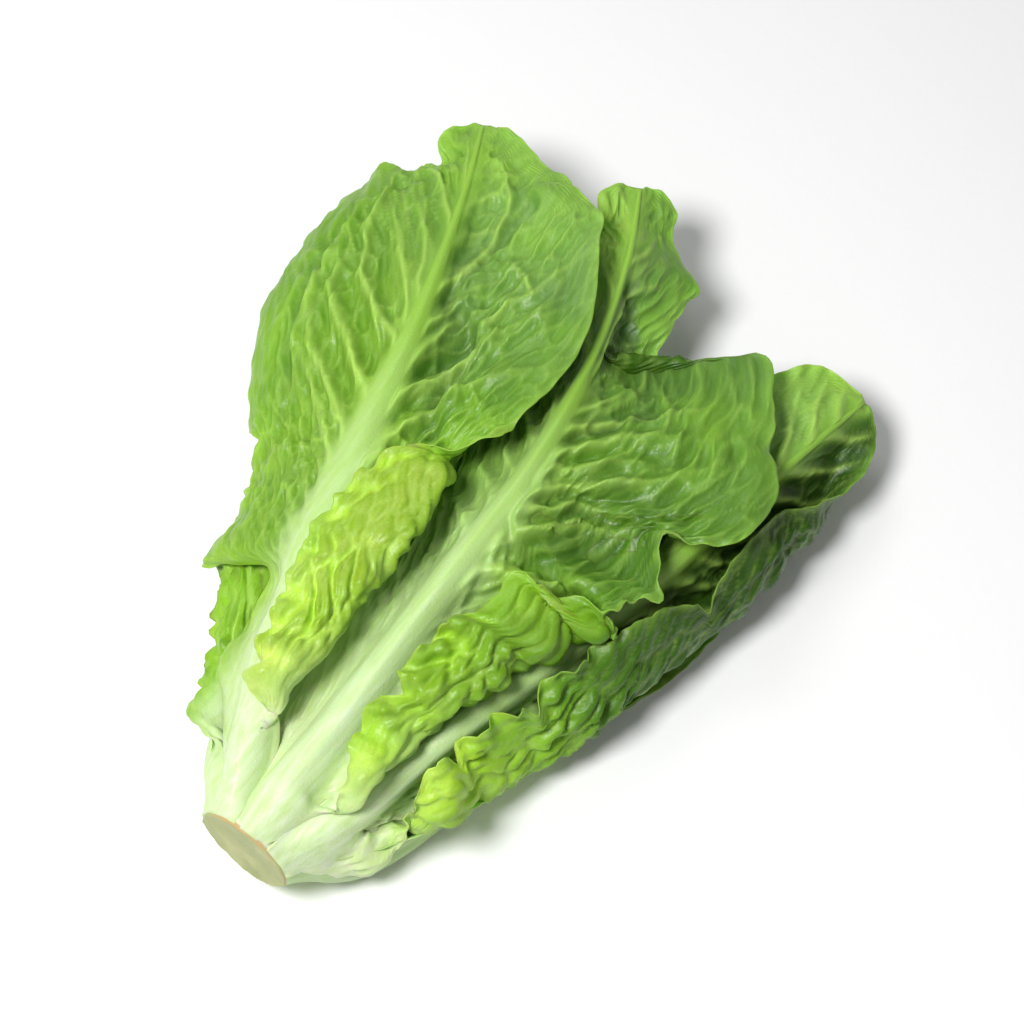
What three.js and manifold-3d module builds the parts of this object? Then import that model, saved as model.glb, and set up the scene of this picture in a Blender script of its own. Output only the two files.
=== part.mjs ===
// A head of romaine lettuce lying on its side, built leaf by leaf. Millimetres, +Z up.
// The stem runs along +Y: its cut face looks along -Y and the leaf tips lie at the far end.
// Every leaf is one closed solid. Its outer face is a surface hung on three lines: the rib and
// the two margins. Its thickness goes inwards, thick along the rib and thin in the blade.

import * as THREE from 'three';
import { mergeVertices } from 'three/addons/utils/BufferGeometryUtils.js';
import Module from 'manifold-3d';

// Driving dimensions.
const CUT_RADIUS = 20;            // the stem's cut face
const CUT_THICKNESS = 4.5;        // the disc of stem below the lowest leaves
const AXIS_HEIGHT = 30;           // the stem's centre line over the surface the head lies on
const CORE_RADIUS = 12.5;         // the stem inside the ring of outer leaf bases
const CORE_MIDDLE = [26, 10];     // further up the stem: distance along it, and its radius
const CORE_LENGTH = 70;           // the growing point, where the stem ends
const RIB_THICKNESS = [6.4, 1.5]; // at the leaf's base, and where its taper ends
const RIB_HALF_WIDTH = [8, 2.5];  // the same
const RIB_TAPER_END = 0.7;        // share of the rib at which it has reached its least size
const RIB_FLANK = 1.6;            // the rib thins into the blade over this many half widths
const BLADE_THICKNESS = 1.2;
const ROW_SPACING = 0.03;         // rows of points are at least this share of the rib apart
const BLUNT_TIP = 0.985;          // share of the rib at which the solid ends
const GAP = 0.4;                  // clearance between neighbouring pieces
const OUTER_COLUMNS = 5;          // points across each half of an outer leaf
const BUNCH_COLUMNS = 3;          // and of a leaf inside the bunch
const FLAT_BELOW = 0.7;           // what hangs lower than this lies flat on the surface

// Colours, roughness.
const STEM_FINISH = { color: 0xd9d9a8, roughness: 0.55 };
const OUTER_FINISH = { color: 0x6fa83a, roughness: 0.45 };
const MIDDLE_FINISH = { color: 0x9ccb52, roughness: 0.45 };
const HEART_FINISH = { color: 0xd6e58c, roughness: 0.45 };

// The outer leaves, as they lie. Angles are in degrees.
//   face: which way the rib's outer side looks, 0 to +X and 90 up, at even shares of its length.
//   rib: points along it, from the base to the tip.
//   left, right: the margins, as seen from outside with the tip up. Each row is the share of the
//   rib, the margin's point, how steeply the blade leaves the rib (up is positive), how steeply
//   it arrives at the margin (180 where it is folded back), and how far it reaches sideways.
const OUTER_LEAVES = {
  outer_leaf_top_left: {
    face: [115, 112, 108, 104, 100, 96, 92, 90],
    rib: [
      [-8, 5, 48], [-22, 34, 54], [-38, 70, 61], [-51, 112, 67], [-62, 156, 70], [-72, 194, 71],
      [-84, 227, 70], [-100, 264, 65], [-119.2, 301, 55],
    ],
    left: [
      [0, [-15, 5, 43], -15, -30, 3], [0.1, [-38, 32.4, 42], -20, -50, 7],
      [0.2, [-51.7, 49.6, 40], -12, -50, 9], [0.3, [-64, 89, 45], -5, -40, 8],
      [0.34, [-87, 80, 31], 0, -60, 18], [0.4, [-91, 106, 30], 0, -65, 20],
      [0.46, [-103, 130, 32], 0, -65, 22], [0.54, [-119, 148, 33], 0, -60, 24],
      [0.62, [-140, 184, 35], 0, -60, 28], [0.72, [-148, 222, 38], 0, -60, 26],
      [0.81, [-147, 252.2, 42], 0, -55, 22], [0.86, [-142.2, 263.5, 46], 0, -40, 18],
      [0.905, [-129.2, 267.6, 50], 0, -25, 14], [0.93, [-122.1, 275.2, 51], 0, -20, 10],
      [0.955, [-128.6, 282.4, 53], 0, -15, 9], [0.98, [-127, 292.9, 54], 0, 0, 6],
      [1, [-119.2, 301, 55], 0, 0, 2],
    ],
    right: [
      [0, [-3, 5, 49.3], 0, 0, 2], [0.1, [-13, 40, 54], -10, -20, 4],
      [0.14, [-26, 39, 67], -15, 170, 16], [0.22, [-35, 60, 71], -20, 180, 30],
      [0.31, [-44, 93, 75], -20, 180, 38], [0.38, [-47, 123, 77], -15, 180, 44],
      [0.44, [-41, 148, 79], -10, 150, 38], [0.49, [-20, 163, 78], -22, 50, 20],
      [0.6, [-12, 196, 76], -34, -5, 24], [0.72, [-17, 234, 74], -36, -5, 24],
      [0.82, [-37, 268, 73], -32, 0, 22], [0.87, [-48.8, 283, 70], -24, 0, 18],
      [0.89, [-61.4, 287, 68], -10, 0, 14], [0.905, [-64, 288.5, 66], -10, 0, 12],
      [0.92, [-68.3, 291.7, 64], -10, 0, 12], [0.945, [-83, 294, 61], -5, 0, 10],
      [0.965, [-94.1, 298.9, 59], -5, 0, 8], [0.985, [-107, 302.5, 57], 0, 0, 6],
      [1, [-119.2, 301, 55], 0, 0, 2],
    ],
  },
  outer_leaf_top: {
    face: [78, 82, 85, 86, 86, 84, 80, 78],
    rib: [
      [4, 5, 49.6], [4, 44, 54], [3, 84, 60], [1, 126, 64], [-1, 168, 66], [-6.5, 206, 66],
      [-16, 243, 63], [-31.5, 281, 58], [-51.3, 316.9, 50],
    ],
    left: [
      [0, [-4, 5, 48.2], -10, -20, 2.5], [0.06, [-13, 24, 44.5], -20, -30, 5],
      [0.125, [-17, 46, 45], -25, -25, 8], [0.25, [-26, 92, 53], -28, 0, 10],
      [0.375, [-34, 134, 55], -30, 5, 12], [0.5, [-40, 176, 54], -35, 5, 14],
      [0.625, [-48, 214, 53], -35, 5, 14], [0.75, [-58, 250, 50], -30, 5, 14],
      [0.87, [-66, 284, 48], -20, 0, 12], [0.95, [-56.9, 295.1, 48], -10, 0, 9],
      [0.975, [-62.9, 305.3, 49], -5, 0, 7], [0.99, [-58.6, 311.8, 49.5], 0, 0, 4],
      [1, [-51.3, 316.9, 50], 0, 0, 2],
    ],
    right: [
      [0, [10, 5, 46.4], 0, 0, 2], [0.05, [21, 22, 45], -10, -30, 7],
      [0.09, [21.7, 28.9, 55], -30, 150, 18], [0.2, [11, 60, 65], -30, 180, 34],
      [0.3, [15, 95, 71], -30, 180, 41], [0.37, [26, 118, 73], -25, 172, 47],
      [0.41, [42, 133, 71], -20, 162, 46], [0.432, [53, 139, 68], -18, 140, 42],
      [0.455, [60, 144, 66], -15, 60, 24], [0.485, [64.1, 155.6, 61], -10, 40, 22],
      [0.5, [69.6, 161.8, 61], -20, 40, 24], [0.515, [59.5, 173.4, 62], -24, 60, 24],
      [0.53, [55, 182.2, 63], -28, 50, 24], [0.55, [64.7, 186.1, 61], -30, 10, 24],
      [0.58, [75.6, 194.6, 59], -32, -10, 24], [0.62, [79.5, 209.5, 58], -34, -20, 26],
      [0.655, [76.5, 226.6, 57], -34, -25, 26], [0.68, [64.2, 240.1, 56], -34, -25, 25],
      [0.705, [56.6, 256, 55], -34, -30, 23], [0.73, [50.8, 271.1, 52], -34, -50, 20],
      [0.75, [30.8, 281.6, 40], -38, -70, 16], [0.765, [19.2, 277, 36], -35, -70, 13],
      [0.78, [14.7, 266.9, 30], -40, -60, 9], [0.795, [0.5, 257.6, 22], -50, -30, 6],
      [0.81, [-5, 262, 22], -50, -20, 6], [0.835, [-4, 269.9, 32], -40, -20, 8],
      [0.865, [-5.8, 284.6, 39], -25, -25, 11], [0.885, [-5.5, 293.9, 39], -20, -30, 13],
      [0.905, [-14.6, 298.1, 41], -20, -30, 12], [0.93, [-28, 307.1, 43], -20, -20, 9],
      [0.955, [-32.8, 317.2, 45], -15, -10, 8], [0.975, [-42.4, 320.7, 47], -10, 0, 6],
      [1, [-51.3, 316.9, 50], 0, 0, 2],
    ],
  },
  outer_leaf_right: {
    face: [28, 30, 35, 38, 40, 42, 45, 45],
    rib: [
      [18, 5, 39], [29, 38, 40], [37, 74, 43], [47, 112, 45], [56, 150, 46], [62, 188, 45],
      [67, 226, 43], [71, 264, 38], [74, 298, 30],
    ],
    left: [
      [0, [12, 5, 45.6], 0, 0, 2], [0.125, [21, 40, 46], -10, 0, 5], [0.25, [24, 78, 46], -10, 0, 8],
      [0.375, [24, 116, 47], -10, 0, 10], [0.5, [24, 156, 48], -10, 0, 14],
      [0.625, [24, 198, 48], -10, 0, 14], [0.75, [28, 238, 46], -10, 0, 14],
      [0.86, [40, 276, 42], -10, -10, 12], [0.94, [53, 296, 37], -5, 0, 8],
      [1, [74, 298, 30], 0, 0, 2],
    ],
    right: [
      [0, [19.5, 5, 32], 0, 0, 2], [0.07, [38.5, 31.5, 14.5], -20, -60, 9],
      [0.095, [43.5, 40.5, 27], -35, 80, 18], [0.13, [41.5, 48, 46], -46, 172, 30],
      [0.25, [44, 76, 53], -32, 180, 46], [0.37, [54, 112, 54], -24, 180, 50],
      [0.48, [62, 146, 53], -20, 180, 44], [0.56, [70, 168, 47], -20, 170, 38],
      [0.61, [77, 180, 41], -20, 160, 34], [0.66, [77, 194, 46], -20, 170, 38],
      [0.75, [78, 226, 42], -20, 170, 34], [0.85, [87, 246, 33], -15, 140, 26],
      [0.92, [91, 270, 26], -10, 60, 16], [0.97, [85, 288, 26], 0, 0, 6], [1, [74, 298, 30], 0, 0, 2],
    ],
  },
  outer_leaf_low_right: {
    face: [-22, -45, -72, -84, -88, -90, -90, -90],
    rib: [
      [19, 5, 24.8], [33, 29, 7], [41, 64, 2], [44, 102, 1], [45, 142, 0], [46, 184, 0], [46, 224, 0],
      [46, 260, 2], [47, 290, 5],
    ],
    left: [
      [0, [19.6, 5, 31], 0, 0, 2], [0.1, [32, 24, 25], -10, -10, 5], [0.2, [47, 50, 19], -10, 0, 6],
      [0.28, [54, 74, 11], -5, 0, 6], [0.36, [59, 97, 6], 0, 0, 8], [0.46, [66, 128, 1], 0, 0, 10],
      [0.58, [78, 168, 1], 0, 0, 12], [0.7, [80, 206, 2], 0, 0, 12], [0.82, [76, 244, 4], 0, 0, 12],
      [0.92, [66, 276, 7], 0, 0, 8], [1, [47, 290, 5], 0, 0, 2],
    ],
    right: [
      [0, [16, 5, 18.5], 0, 0, 2], [0.125, [24, 32, 4], -10, 0, 3], [0.25, [23, 70, 1], -5, 0, 5],
      [0.4, [20, 116, 0], 0, 0, 6], [0.6, [17, 180, 0], 0, 0, 8], [0.8, [17, 240, 2], 0, 0, 8],
      [0.92, [30, 278, 5], 0, 0, 6], [1, [47, 290, 5], 0, 0, 2],
    ],
  },
  outer_leaf_left: {
    face: [163, 163, 166, 176, 190, 200, 210, 215],
    rib: [
      [-19, 5, 36], [-37, 30, 29], [-48, 62, 24], [-58, 100, 19], [-68, 140, 15], [-77, 180, 12],
      [-84, 216, 11], [-89, 250, 12], [-92, 280, 15],
    ],
    left: [
      [0, [-19.5, 5, 29], 0, 0, 2], [0.125, [-38, 33, 18], -10, 0, 4],
      [0.25, [-52, 70, 12], -10, 0, 6], [0.375, [-66, 110, 8], -10, 0, 6],
      [0.5, [-84, 150, 7], -10, 10, 8], [0.65, [-98, 194, 7], -10, 10, 10],
      [0.8, [-108, 236, 8], -10, 10, 10], [0.92, [-108, 268, 10], 0, 0, 6],
      [1, [-92, 280, 15], 0, 0, 2],
    ],
    right: [
      [0, [-15.5, 5, 42], 0, 0, 2], [0.07, [-29, 22, 42], 0, 0, 4], [0.11, [-44, 27, 31], 10, 200, 9],
      [0.2, [-56, 45, 27], 10, 200, 13], [0.3, [-70, 68, 25], 10, 200, 24],
      [0.4, [-84, 94, 23], 10, 190, 26], [0.5, [-88, 120, 24], 5, 150, 22],
      [0.6, [-70, 156, 34], 0, 30, 12], [0.75, [-74, 210, 34], 0, 10, 14],
      [0.9, [-80, 258, 28], 0, 0, 10], [1, [-92, 280, 15], 0, 0, 2],
    ],
  },
  outer_leaf_under_left: {
    face: [210, 225, 250, 262, 268, 270, 270, 270],
    rib: [
      [-17.5, 5, 20.5], [-28, 32, 6], [-34, 70, 2], [-38, 110, 1], [-42, 148, 0], [-46, 186, 0],
      [-50, 222, 0], [-54, 256, 2], [-58, 286, 5],
    ],
    left: [
      [0, [-12.5, 5, 14.5], 0, 0, 2], [0.125, [-17, 34, 5], -5, 0, 3], [0.25, [-16, 72, 4], -5, 0, 5],
      [0.4, [-14, 116, 4], -5, 0, 6], [0.6, [-14, 176, 4], -5, 0, 8], [0.8, [-20, 236, 4], 0, 0, 8],
      [0.92, [-36, 274, 6], 0, 0, 6], [1, [-58, 286, 5], 0, 0, 2],
    ],
    right: [
      [0, [-19.3, 5, 27], 0, 0, 2], [0.125, [-38, 34, 12], 0, 0, 4], [0.25, [-56, 74, 4], 0, 0, 6],
      [0.4, [-76, 116, 2], 0, 0, 10], [0.55, [-92, 158, 1], 0, 0, 12], [0.7, [-102, 202, 1], 0, 0, 14],
      [0.83, [-100, 242, 3], 0, 0, 12], [0.93, [-84, 274, 6], 0, 0, 8], [1, [-58, 286, 5], 0, 0, 2],
    ],
  },
  outer_leaf_under_middle: {
    face: [257, 262, 268, 270, 270, 270, 270, 270],
    rib: [
      [-5, 5, 10.6], [-4, 34, 0], [-3, 76, 0], [-2, 114, 0], [-1, 152, 0], [-2, 190, 0], [-4, 226, 0],
      [-7, 258, 2], [-10, 286, 5],
    ],
    left: [
      [0, [3, 5, 10.6], 0, 0, 2], [0.125, [5, 36, 4], -5, 0, 3], [0.3, [12, 86, 4], -5, 0, 6],
      [0.5, [16, 150, 4], -5, 0, 7], [0.7, [16, 214, 4], 0, 0, 8], [0.88, [10, 264, 6], 0, 0, 8],
      [1, [-10, 286, 5], 0, 0, 2],
    ],
    right: [
      [0, [-11, 5, 13.6], 0, 0, 2], [0.125, [-14, 36, 1], 0, 0, 3], [0.3, [-24, 86, 0], 0, 0, 6],
      [0.5, [-30, 150, 0], 0, 0, 8], [0.7, [-34, 214, 0], 0, 0, 8], [0.88, [-30, 264, 3], 0, 0, 8],
      [1, [-10, 286, 5], 0, 0, 2],
    ],
  },
  outer_leaf_under_right: {
    face: [301, 290, 280, 272, 270, 270, 270, 270],
    rib: [
      [10, 5, 12.8], [14, 33, 1], [15, 70, 1], [17, 106, 0], [19, 142, 0], [20, 178, 0], [21, 212, 0],
      [21, 244, 2], [20, 272, 5],
    ],
    left: [
      [0, [15.3, 5, 17.5], 0, 0, 2], [0.125, [21, 34, 7], -5, 0, 3], [0.3, [34, 84, 8], -5, 0, 6],
      [0.5, [48, 146, 8], -5, 0, 8], [0.7, [54, 206, 8], 0, 0, 10], [0.88, [44, 254, 9], 0, 0, 8],
      [1, [20, 272, 5], 0, 0, 2],
    ],
    right: [
      [0, [4.2, 5, 10.9], 0, 0, 2], [0.125, [6, 35, 0], 0, 0, 3], [0.3, [4, 84, 0], 0, 0, 5],
      [0.5, [2, 146, 0], 0, 0, 6], [0.7, [2, 206, 0], 0, 0, 8], [0.88, [6, 252, 3], 0, 0, 6],
      [1, [20, 272, 5], 0, 0, 2],
    ],
  },
};

// The bunch inside: its half width and half height across the head, at even distances.
const BUNCH_STEP = 50;
const BUNCH_HALF_WIDTH = [16, 28, 38, 47, 50, 46, 34];
const BUNCH_HALF_HEIGHT = [16, 20, 23, 24, 21, 15, 8];
const BUNCH_DRIFT = -0.045;       // the bunch leans to -X along the head,
const BUNCH_RISE = 0.02;          // and rises a little
const CLOSING_START = 0.8;        // share of a leaf's length at which its tip starts to close in
const CLOSING = 0.35;             // and how far it closes, as a share of the leaf's ring
const MOST_TURN = 2.2;            // radians that a margin may lie round the bunch from its rib

// Half widths of a leaf of the bunch along its length: millimetres at the base and the tip, and
// shares of the leaf's whole width between them.
const bunchHalfWidths = (width) => [[0, 9], [0.15, 14], [0.4, 0.36 * width], [0.7, 0.5 * width],
  [0.9, 0.31 * width], [1, 1]];

// The leaves of the bunch: the angle of the rib round it, the leaf's length and width.
//   start: distance of the leaf bases along the head.
//   ring: how far out the ribs lie, as a share of the bunch's half size.
//   pitch: how much further in the left side of a leaf lies, a spacing (degrees) away from its rib.
//   heft: the rib's thickness as a share of an outer leaf's.
const MIDDLE_LEAVES = {
  start: 14, ring: 0.8, pitch: 0.11, spacing: 60, heft: 0.6,
  leaves: [[150, 232, 94], [90, 240, 100], [30, 228, 96], [-30, 236, 92], [-90, 226, 94],
    [-150, 230, 92]],
};
const HEART_LEAVES = {
  start: 36, ring: 0.44, pitch: 0.1, spacing: 90, heft: 0.4,
  leaves: [[120, 196, 62], [30, 200, 64], [-60, 190, 60], [-150, 194, 60]],
};
const BUD_LEAVES = {
  start: 66, ring: 0.12, pitch: 0.06, spacing: 180, heft: 0.3,
  leaves: [[75, 146, 30], [-105, 140, 28]],
};

const radians = THREE.MathUtils.degToRad;
const degrees = THREE.MathUtils.radToDeg;
const mix = THREE.MathUtils.lerp;

// A smooth curve through values, which are numbers or points, at rising knots.
function smooth(knots, values, at) {
  const rows = values.map((value) => [value].flat());
  const slope = (a, b) => rows[a].map((v, i) => (rows[b][i] - v) / (knots[b] - knots[a]));
  const tangent = (j) => {
    if (j === 0) return slope(0, 1);
    if (j === knots.length - 1) return slope(j - 1, j);
    const before = slope(j - 1, j);
    const after = slope(j, j + 1);
    const share = (knots[j] - knots[j - 1]) / (knots[j + 1] - knots[j - 1]);
    return before.map((v, i) => mix(v, after[i], share));
  };
  let k = 0;
  while (k < knots.length - 2 && at >= knots[k + 1]) k += 1;
  const span = knots[k + 1] - knots[k];
  const t = (at - knots[k]) / span;
  const start = tangent(k);
  const end = tangent(k + 1);
  const result = rows[k].map((v, i) => (2 * t ** 3 - 3 * t ** 2 + 1) * v
    + (t ** 3 - 2 * t ** 2 + t) * span * start[i]
    + (3 * t ** 2 - 2 * t ** 3) * rows[k + 1][i]
    + (t ** 3 - t ** 2) * span * end[i]);
  return result.length === 1 ? result[0] : new THREE.Vector3(...result);
}

// The height at a point along straight lines through pairs of numbers.
function between(pairs, at) {
  let k = 0;
  while (k < pairs.length - 2 && at > pairs[k + 1][0]) k += 1;
  const [[a, low], [b, high]] = [pairs[k], pairs[k + 1]];
  return mix(low, high, (at - a) / (b - a));
}

const evenKnots = (count) => Array.from({ length: count }, (_, i) => i / (count - 1));

// Where the rib is at a share of its length, and its directions along, outward and to the right.
function ribFrame(leaf, share) {
  const knots = evenKnots(leaf.rib.length);
  const small = 1e-3;
  const point = smooth(knots, leaf.rib, share);
  const along = smooth(knots, leaf.rib, Math.min(share + small, 1))
    .sub(smooth(knots, leaf.rib, Math.max(share - small, 0))).normalize();
  const facing = radians(smooth(evenKnots(leaf.face.length), leaf.face, share));
  const outward = new THREE.Vector3(Math.cos(facing), 0, Math.sin(facing));
  outward.addScaledVector(along, -outward.dot(along)).normalize();
  return { point, along, outward, right: along.clone().cross(outward) };
}

// The curve of one half of the blade, from the rib to the margin.
function halfBlade(leaf, side, share, frame) {
  const rows = leaf[side];
  const knots = rows.map((row) => row[0]);
  const read = (column) => smooth(knots, rows.map((row) => row[column]), share);
  const margin = read(1);
  const reach = Math.max(read(4), 0.5);
  const sideways = frame.right.clone().multiplyScalar(side === 'right' ? 1 : -1);
  const forward = frame.along.clone()
    .multiplyScalar(margin.clone().sub(frame.point).dot(frame.along) / 3);
  const handle = (angle) => sideways.clone().multiplyScalar(Math.cos(angle) * reach)
    .addScaledVector(frame.outward, Math.sin(angle) * reach).add(forward);
  return new THREE.CubicBezierCurve3(
    frame.point,
    frame.point.clone().add(handle(radians(read(2)))),
    margin.clone().sub(handle(radians(read(3)))),
    margin,
  );
}

// The shares of the rib at which the solid has a row of points.
function stations(leaf) {
  const wanted = [...leaf.left, ...leaf.right].map((row) => row[0]).sort((a, b) => a - b);
  const kept = wanted.filter((share, i) => i === 0 || share - wanted[i - 1] > 1e-6)
    .reduce((list, share) => (share - (list.at(-1) ?? -1) > ROW_SPACING ? [...list, share] : list), [])
    .filter((share) => share < BLUNT_TIP - ROW_SPACING);
  return [...kept, BLUNT_TIP];
}

// Rows of { point, thickness } from the left margin over the rib to the right margin.
function outerFace(leaf, columns) {
  return stations(leaf).map((share) => {
    const frame = ribFrame(leaf, share);
    const taper = Math.min(share / RIB_TAPER_END, 1);
    const halfWidth = mix(...RIB_HALF_WIDTH, taper);
    const ribThickness = mix(...RIB_THICKNESS, taper) * (leaf.heft ?? 1);
    const half = (side) => {
      const curve = halfBlade(leaf, side, share, frame);
      const length = curve.getLength();
      const first = THREE.MathUtils.clamp(halfWidth / length, 0.2, 0.5);
      return Array.from({ length: columns + 1 }, (_, i) => {
        const u = i === 0 ? 0 : mix(first, 1, (i - 1) / (columns - 1));
        const swell = Math.max(0, 1 - (u * length / (RIB_FLANK * halfWidth)) ** 2) ** 2;
        return { point: curve.getPointAt(u), thickness: mix(BLADE_THICKNESS, ribThickness, swell) };
      });
    };
    return [...half('left').reverse().slice(0, -1), ...half('right')];
  });
}

// The face's outward normal at a spot, and the way off the face there if the spot is on its edge.
function directionsAt(face, row, column) {
  const clamp = THREE.MathUtils.clamp;
  const spot = (r, c) => face[clamp(r, 0, face.length - 1)][clamp(c, 0, face[0].length - 1)].point;
  const here = spot(row, column);
  const across = spot(row, column + 1).clone().sub(spot(row, column - 1));
  const along = spot(row + 1, column).clone().sub(spot(row - 1, column));
  const edge = new THREE.Vector3();
  [[0, 1], [0, -1], [1, 0], [-1, 0]].forEach(([dr, dc]) => {
    const isOutside = spot(row + dr, column + dc) === here;
    if (isOutside) edge.add(here.clone().sub(spot(row - dr, column - dc)).normalize());
  });
  return { normal: across.cross(along).normalize(), edge };
}

// A closed solid between the outer face and the inner one, made thicker all round by grow.
function leafSolid(leaf, columns, grow = 0) {
  const face = outerFace(leaf, columns);
  face.flat().forEach((spot) => {
    if (spot.point.z < FLAT_BELOW) spot.point.z = 0;
  });
  const rows = face.length;
  const width = face[0].length;
  const positions = [];
  const layers = [() => grow, (spot) => -spot.thickness - grow];
  layers.forEach((offset) => face.forEach((line, r) => line.forEach((spot, c) => {
    const { normal, edge } = directionsAt(face, r, c);
    const point = spot.point.clone().addScaledVector(normal, offset(spot)).addScaledVector(edge, grow);
    positions.push(...point.toArray());
  })));
  const outer = (r, c) => r * width + c;
  const inner = (r, c) => rows * width + r * width + c;
  const triangles = [];
  const quad = (a, b, c, d) => triangles.push(a, b, c, a, c, d);
  for (let r = 0; r < rows - 1; r += 1) {
    for (let c = 0; c < width - 1; c += 1) {
      quad(outer(r, c), outer(r, c + 1), outer(r + 1, c + 1), outer(r + 1, c));
      quad(inner(r, c), inner(r + 1, c), inner(r + 1, c + 1), inner(r, c + 1));
    }
    quad(outer(r, 0), outer(r + 1, 0), inner(r + 1, 0), inner(r, 0));
    quad(outer(r + 1, width - 1), outer(r, width - 1), inner(r, width - 1), inner(r + 1, width - 1));
  }
  for (let c = 0; c < width - 1; c += 1) {
    quad(outer(0, c + 1), outer(0, c), inner(0, c), inner(0, c + 1));
    quad(outer(rows - 1, c), outer(rows - 1, c + 1), inner(rows - 1, c + 1), inner(rows - 1, c));
  }
  return { positions, triangles };
}

// The centre and half sizes of the bunch at a distance y from the cut face.
function bunchAt(y) {
  const k = Math.min(Math.floor(y / BUNCH_STEP), BUNCH_HALF_WIDTH.length - 2);
  const t = y / BUNCH_STEP - k;
  return {
    x: BUNCH_DRIFT * y,
    z: AXIS_HEIGHT + BUNCH_RISE * y,
    halfWidth: mix(BUNCH_HALF_WIDTH[k], BUNCH_HALF_WIDTH[k + 1], t),
    halfHeight: mix(BUNCH_HALF_HEIGHT[k], BUNCH_HALF_HEIGHT[k + 1], t),
  };
}

// The rib and margins of a leaf wrapped round the bunch. The right side of each leaf lies a
// little further out than its rib and the left side further in, so that the leaves overlap.
function wrappedLeaf(angle, length, width, { start, ring, pitch, spacing, heft }) {
  const shares = evenKnots(9);
  const turnStep = 0.02;
  const rib = radians(angle);
  const pointAt = (share, turn, lift) => {
    const y = start + length * share;
    const section = bunchAt(y);
    const closing = 1 - CLOSING * Math.max(0, (share - CLOSING_START) / (1 - CLOSING_START)) ** 2;
    const size = (ring + lift) * closing;
    return new THREE.Vector3(section.x + section.halfWidth * size * Math.cos(turn), y,
      section.z + section.halfHeight * size * Math.sin(turn));
  };
  const facingAt = (share, turn) => {
    const section = bunchAt(start + length * share);
    return Math.atan2(Math.sin(turn) / section.halfHeight, Math.cos(turn) / section.halfWidth);
  };
  const margin = (share, sign) => {
    const wanted = between(bunchHalfWidths(width), share);
    const middle = pointAt(share, rib, 0);
    let turn = rib;
    let last = middle;
    let run = 0;
    while (run < wanted && Math.abs(turn - rib) < MOST_TURN) {
      turn += sign * turnStep;
      const next = pointAt(share, turn, -sign * pitch * Math.abs(turn - rib) / radians(spacing));
      run += next.distanceTo(last);
      last = next;
    }
    const bend = Math.abs(Math.atan2(Math.sin(facingAt(share, turn) - facingAt(share, rib)),
      Math.cos(facingAt(share, turn) - facingAt(share, rib))));
    const chord = last.distanceTo(middle);
    const reach = bend < 0.05 ? chord / 3 : chord * (2 / 3) * Math.tan(bend / 4) / Math.sin(bend / 2);
    return [share, last.toArray(), 0, -degrees(bend), Math.max(reach, 1)];
  };
  return {
    heft,
    face: shares.map((share) => degrees(facingAt(share, rib))),
    rib: shares.map((share) => pointAt(share, rib, 0).toArray()),
    left: shares.map((share) => margin(share, 1)),
    right: shares.map((share) => margin(share, -1)),
  };
}

// The stem: a disc at the cut face, and a core that tapers to the growing point.
function stemGeometry(grow) {
  const profile = [[0, -grow], [CUT_RADIUS - 1 + grow, -grow], [CUT_RADIUS + grow, 1],
    [CUT_RADIUS + grow, CUT_THICKNESS - 1], [CUT_RADIUS - 1, CUT_THICKNESS + grow],
    [CORE_RADIUS + grow, CUT_THICKNESS + grow], [CORE_MIDDLE[1] + grow, CORE_MIDDLE[0]],
    [0, CORE_LENGTH + grow]].map(([radius, y]) => new THREE.Vector2(radius, y));
  return new THREE.LatheGeometry(profile, 32).translate(0, 0, AXIS_HEIGHT);
}

// Booleans: each leaf is cut clear of the pieces that lie outside it.
const wasm = await Module();
wasm.setup();

function toManifold({ positions, triangles }) {
  return new wasm.Manifold(new wasm.Mesh({
    numProp: 3,
    vertProperties: new Float32Array(positions),
    triVerts: new Uint32Array(triangles),
  }));
}

function geometryToManifold(geometry) {
  const bare = geometry.clone().deleteAttribute('normal').deleteAttribute('uv');
  const merged = mergeVertices(bare, 1e-4);
  return toManifold({ positions: merged.attributes.position.array, triangles: merged.index.array });
}

function toGeometry(manifold) {
  const { vertProperties, triVerts } = manifold.getMesh();
  const geometry = new THREE.BufferGeometry();
  geometry.setAttribute('position', new THREE.BufferAttribute(new Float32Array(vertProperties), 3));
  geometry.setIndex(new THREE.BufferAttribute(new Uint32Array(triVerts), 1));
  geometry.computeVertexNormals();
  return geometry;
}

// The leaf without what lies inside the others, as one piece: crumbs left by a cut are dropped.
function cutClear(leaf, others) {
  const touching = others.filter((other) => leaf.intersect(other).volume() > 0);
  if (touching.length === 0) return leaf;
  const cut = touching.reduce((rest, other) => rest.subtract(other), leaf);
  return cut.decompose().sort((a, b) => b.volume() - a.volume())[0];
}

const head = new THREE.Group();

function addPiece(name, geometry, finish) {
  const mesh = new THREE.Mesh(geometry, new THREE.MeshStandardMaterial({ ...finish, metalness: 0 }));
  mesh.name = name;
  head.add(mesh);
}

const stem = stemGeometry(0);
addPiece('stem', stem, STEM_FINISH);
const placed = [geometryToManifold(stemGeometry(GAP))];

function addLeaf(name, leaf, columns, finish) {
  const solid = cutClear(toManifold(leafSolid(leaf, columns)), placed);
  placed.push(toManifold(leafSolid(leaf, columns, GAP)).add(solid));
  addPiece(name, toGeometry(solid), finish);
}

Object.entries(OUTER_LEAVES).forEach(([name, leaf]) => addLeaf(name, leaf, OUTER_COLUMNS, OUTER_FINISH));

function addBunch(prefix, set, finish) {
  set.leaves.forEach(([angle, length, width], i) => {
    addLeaf(`${prefix}_${i + 1}`, wrappedLeaf(angle, length, width, set), BUNCH_COLUMNS, finish);
  });
}

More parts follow.
